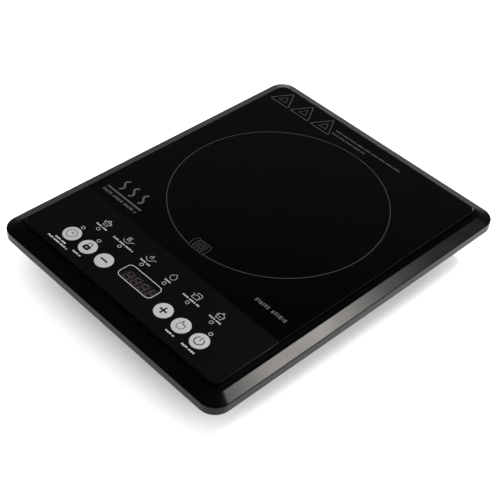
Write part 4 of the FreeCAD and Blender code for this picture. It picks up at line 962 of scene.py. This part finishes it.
# ---- display -------------------------------------------------------------------------------------
def segment(ax, ay, bx, by, half):
    """One bar of a figure, pointed at both ends."""
    a, b = Vector((ax, ay)), Vector((bx, by))
    along = (b - a).normalized()
    side = Vector((-along.y, along.x)) * half
    gap, taper = along * half * 0.35, along * half
    a, b = a + gap, b - gap
    return [tuple(p) for p in (a, a + taper + side, b - taper + side, b, b - taper - side,
                               a + taper - side)]


class COOKTOP_OT_display(bpy.types.Operator):
    """Make the four unlit figures of the display, under its window"""

    bl_idname = "cooktop.display"
    bl_label = "Display figures"

    def execute(self, context):
        prints = context.scene.cooktop_prints
        window = middle_of("display_lens")
        tall = prints.digit_height / MM / 2
        wide = tall * 0.56
        across = ((-wide, tall, wide, tall), (-wide, 0, wide, 0), (-wide, -tall, wide, -tall))
        upright = ((-wide, 0, -wide, tall), (wide, 0, wide, tall),
                   (-wide, -tall, -wide, 0), (wide, -tall, wide, 0))
        squeeze, lean, bar, point, point_gap = 0.92, 0.14, 0.62, 0.5, 1.5
        count = 4
        ink = flat_ink("display_module", prints)
        for i in range(count):
            x = window.x + (i - (count - 1) / 2) * prints.digit_pitch / MM
            for ax, ay, bx, by in across + upright:
                shape = segment(ax, ay * squeeze, bx, by * squeeze, bar)
                ink.patch([(x + px + py * lean, window.y + py) for px, py in shape])
            ink.patch(ring(x + wide + point_gap, window.y - tall * squeeze, point, 12))
        finish = ink_finish("display_segment_unlit", context.scene.cooktop_colours.digit)
        ink.piece("display_figures", finish, "base", "clear_plastic")
        return {"FINISHED"}


# ---- studio --------------------------------------------------------------------------------------
class COOKTOP_OT_stage(bpy.types.Operator):
    """Lay the floor, and set up the room, the lamps and the camera"""

    bl_idname = "cooktop.stage"
    bl_label = "Studio"

    def execute(self, context):
        studio = context.scene.cooktop_studio
        self.lay_floor(studio)
        self.light_room(context.scene, studio)
        self.set_camera(context.scene, studio)
        context.scene.view_settings.view_transform = "Standard"
        return {"FINISHED"}

    def lay_floor(self, studio):
        half, count = studio.floor_size / 2, 12
        spots = [half * (2 * i / count - 1) for i in range(count + 1)]
        points = [(x, y, 0.0) for y in spots for x in spots]
        wide = count + 1
        faces = [(r * wide + c, r * wide + c + 1, (r + 1) * wide + c + 1, (r + 1) * wide + c)
                 for r in range(count) for c in range(count)]
        mesh = bpy.data.meshes.new("studio_floor")
        mesh.from_pydata(points, [], faces)
        mesh.materials.append(floor_finish("studio_paper", studio))
        floor = bpy.data.objects.new("studio_floor", mesh)
        bpy.context.scene.collection.objects.link(floor)

    def light_room(self, scene, studio):
        world = bpy.data.worlds.new("studio_room")
        world.use_nodes = True
        scene.world = world
        tree = world.node_tree
        tree.nodes.clear()
        place = tree.nodes.new("ShaderNodeTexCoord")
        split = tree.nodes.new("ShaderNodeSeparateXYZ")
        ramp = tree.nodes.new("ShaderNodeValToRGB")
        mirrored = tree.nodes.new("ShaderNodeBackground")
        white = tree.nodes.new("ShaderNodeBackground")
        path = tree.nodes.new("ShaderNodeLightPath")
        choice = tree.nodes.new("ShaderNodeMixShader")
        output = tree.nodes.new("ShaderNodeOutputWorld")
        wall = studio.horizon
        levels = ((0.0, wall), (0.30, wall * 0.50), (0.60, 0.060), (0.78, studio.ceiling))
        ramp.color_ramp.interpolation = "EASE"
        while len(ramp.color_ramp.elements) < len(levels):
            ramp.color_ramp.elements.new(1.0)
        for element, (height, bright) in zip(ramp.color_ramp.elements, levels):
            element.position = height
            element.color = (bright, bright, bright, 1.0)
        tree.links.new(place.outputs["Generated"], split.inputs[0])
        tree.links.new(split.outputs["Z"], ramp.inputs[0])
        tree.links.new(ramp.outputs[0], mirrored.inputs[0])
        white.inputs[1].default_value = studio.daylight
        tree.links.new(path.outputs["Is Glossy Ray"], choice.inputs[0])
        tree.links.new(white.outputs[0], choice.inputs[1])
        tree.links.new(mirrored.outputs[0], choice.inputs[2])
        tree.links.new(choice.outputs[0], output.inputs[0])
        self.hang_lamp(scene, "softbox", studio.softbox_power, (0.70, 0.26), studio.softbox_place,
                       studio.softbox_target)
        side = self.hang_lamp(scene, "side_lamp", studio.side_power, (0.5, 0.5), studio.side_place,
                              studio.side_target)
        side.visible_glossy = False

    def hang_lamp(self, scene, name, power, size, place, target):
        """A flat soft lamp, turned to its target."""
        data = bpy.data.lights.new(name, "AREA")
        data.energy = power
        data.shape = "RECTANGLE"
        data.size, data.size_y = size
        data.color = scene.cooktop_studio.lamp_colour
        made = bpy.data.objects.new(name, data)
        made.location = place
        made.rotation_mode = "QUATERNION"
        made.rotation_quaternion = (target - place).to_track_quat("-Z", "Y")
        made.visible_camera = False
        scene.collection.objects.link(made)
        return made

    def set_camera(self, scene, studio):
        data = bpy.data.cameras.new("camera")
        data.sensor_width = 36.0
        data.lens = studio.lens
        data.clip_start, data.clip_end = 0.05, 20.0
        made = bpy.data.objects.new("camera", data)
        turn, rise, lean = studio.azimuth, studio.elevation, studio.roll
        back = Vector((math.sin(turn) * math.cos(rise), -math.cos(turn) * math.cos(rise),
                       math.sin(rise)))
        level = Vector((math.cos(turn), math.sin(turn), 0.0))
        right = level * math.cos(lean) + back.cross(level) * math.sin(lean)
        axes = Matrix((right, back.cross(right), back)).transposed()
        made.matrix_world = Matrix.Translation(studio.camera_place) @ axes.to_4x4()
        scene.collection.objects.link(made)
        scene.camera = made


# ---- add-on --------------------------------------------------------------------------------------
GROUPS = {"cooktop_colours": CooktopColours, "cooktop_prints": CooktopPrints,
          "cooktop_studio": CooktopStudio}
OPERATORS = (
    COOKTOP_OT_shell, COOKTOP_OT_glass, COOKTOP_OT_deck, COOKTOP_OT_coil, COOKTOP_OT_boards,
    COOKTOP_OT_fan, COOKTOP_OT_fasteners, COOKTOP_OT_cooking_ring, COOKTOP_OT_glass_marks,
    COOKTOP_OT_mode_prints, COOKTOP_OT_key_surrounds, COOKTOP_OT_key_marks,
    COOKTOP_OT_display, COOKTOP_OT_stage)


class COOKTOP_PT_sidebar(bpy.types.Panel):
    """Every piece of the cooktop, with its sizes and colours"""

    bl_idname = "COOKTOP_PT_sidebar"
    bl_label = "Induction cooktop"
    bl_space_type = "VIEW_3D"
    bl_region_type = "UI"
    bl_category = "Cooktop"

    def draw(self, context):
        for operator in OPERATORS:
            self.layout.operator(operator.bl_idname)
        for name, group in GROUPS.items():
            box = self.layout.box()
            for setting in group.__annotations__:
                box.prop(getattr(context.scene, name), setting)


def register():
    for group in GROUPS.values():
        bpy.utils.register_class(group)
    for operator in OPERATORS:
        bpy.utils.register_class(operator)
    bpy.utils.register_class(COOKTOP_PT_sidebar)
    for name, group in GROUPS.items():
        setattr(bpy.types.Scene, name, bpy.props.PointerProperty(type=group))


def unregister():
    for name in GROUPS:
        delattr(bpy.types.Scene, name)
    bpy.utils.unregister_class(COOKTOP_PT_sidebar)
    for made in (*reversed(OPERATORS), *GROUPS.values()):
        bpy.utils.unregister_class(made)


def main():
    register()
    for operator in OPERATORS:
        group, name = operator.bl_idname.split(".")
        getattr(getattr(bpy.ops, group), name)()


if __name__ == "__main__":
    main()
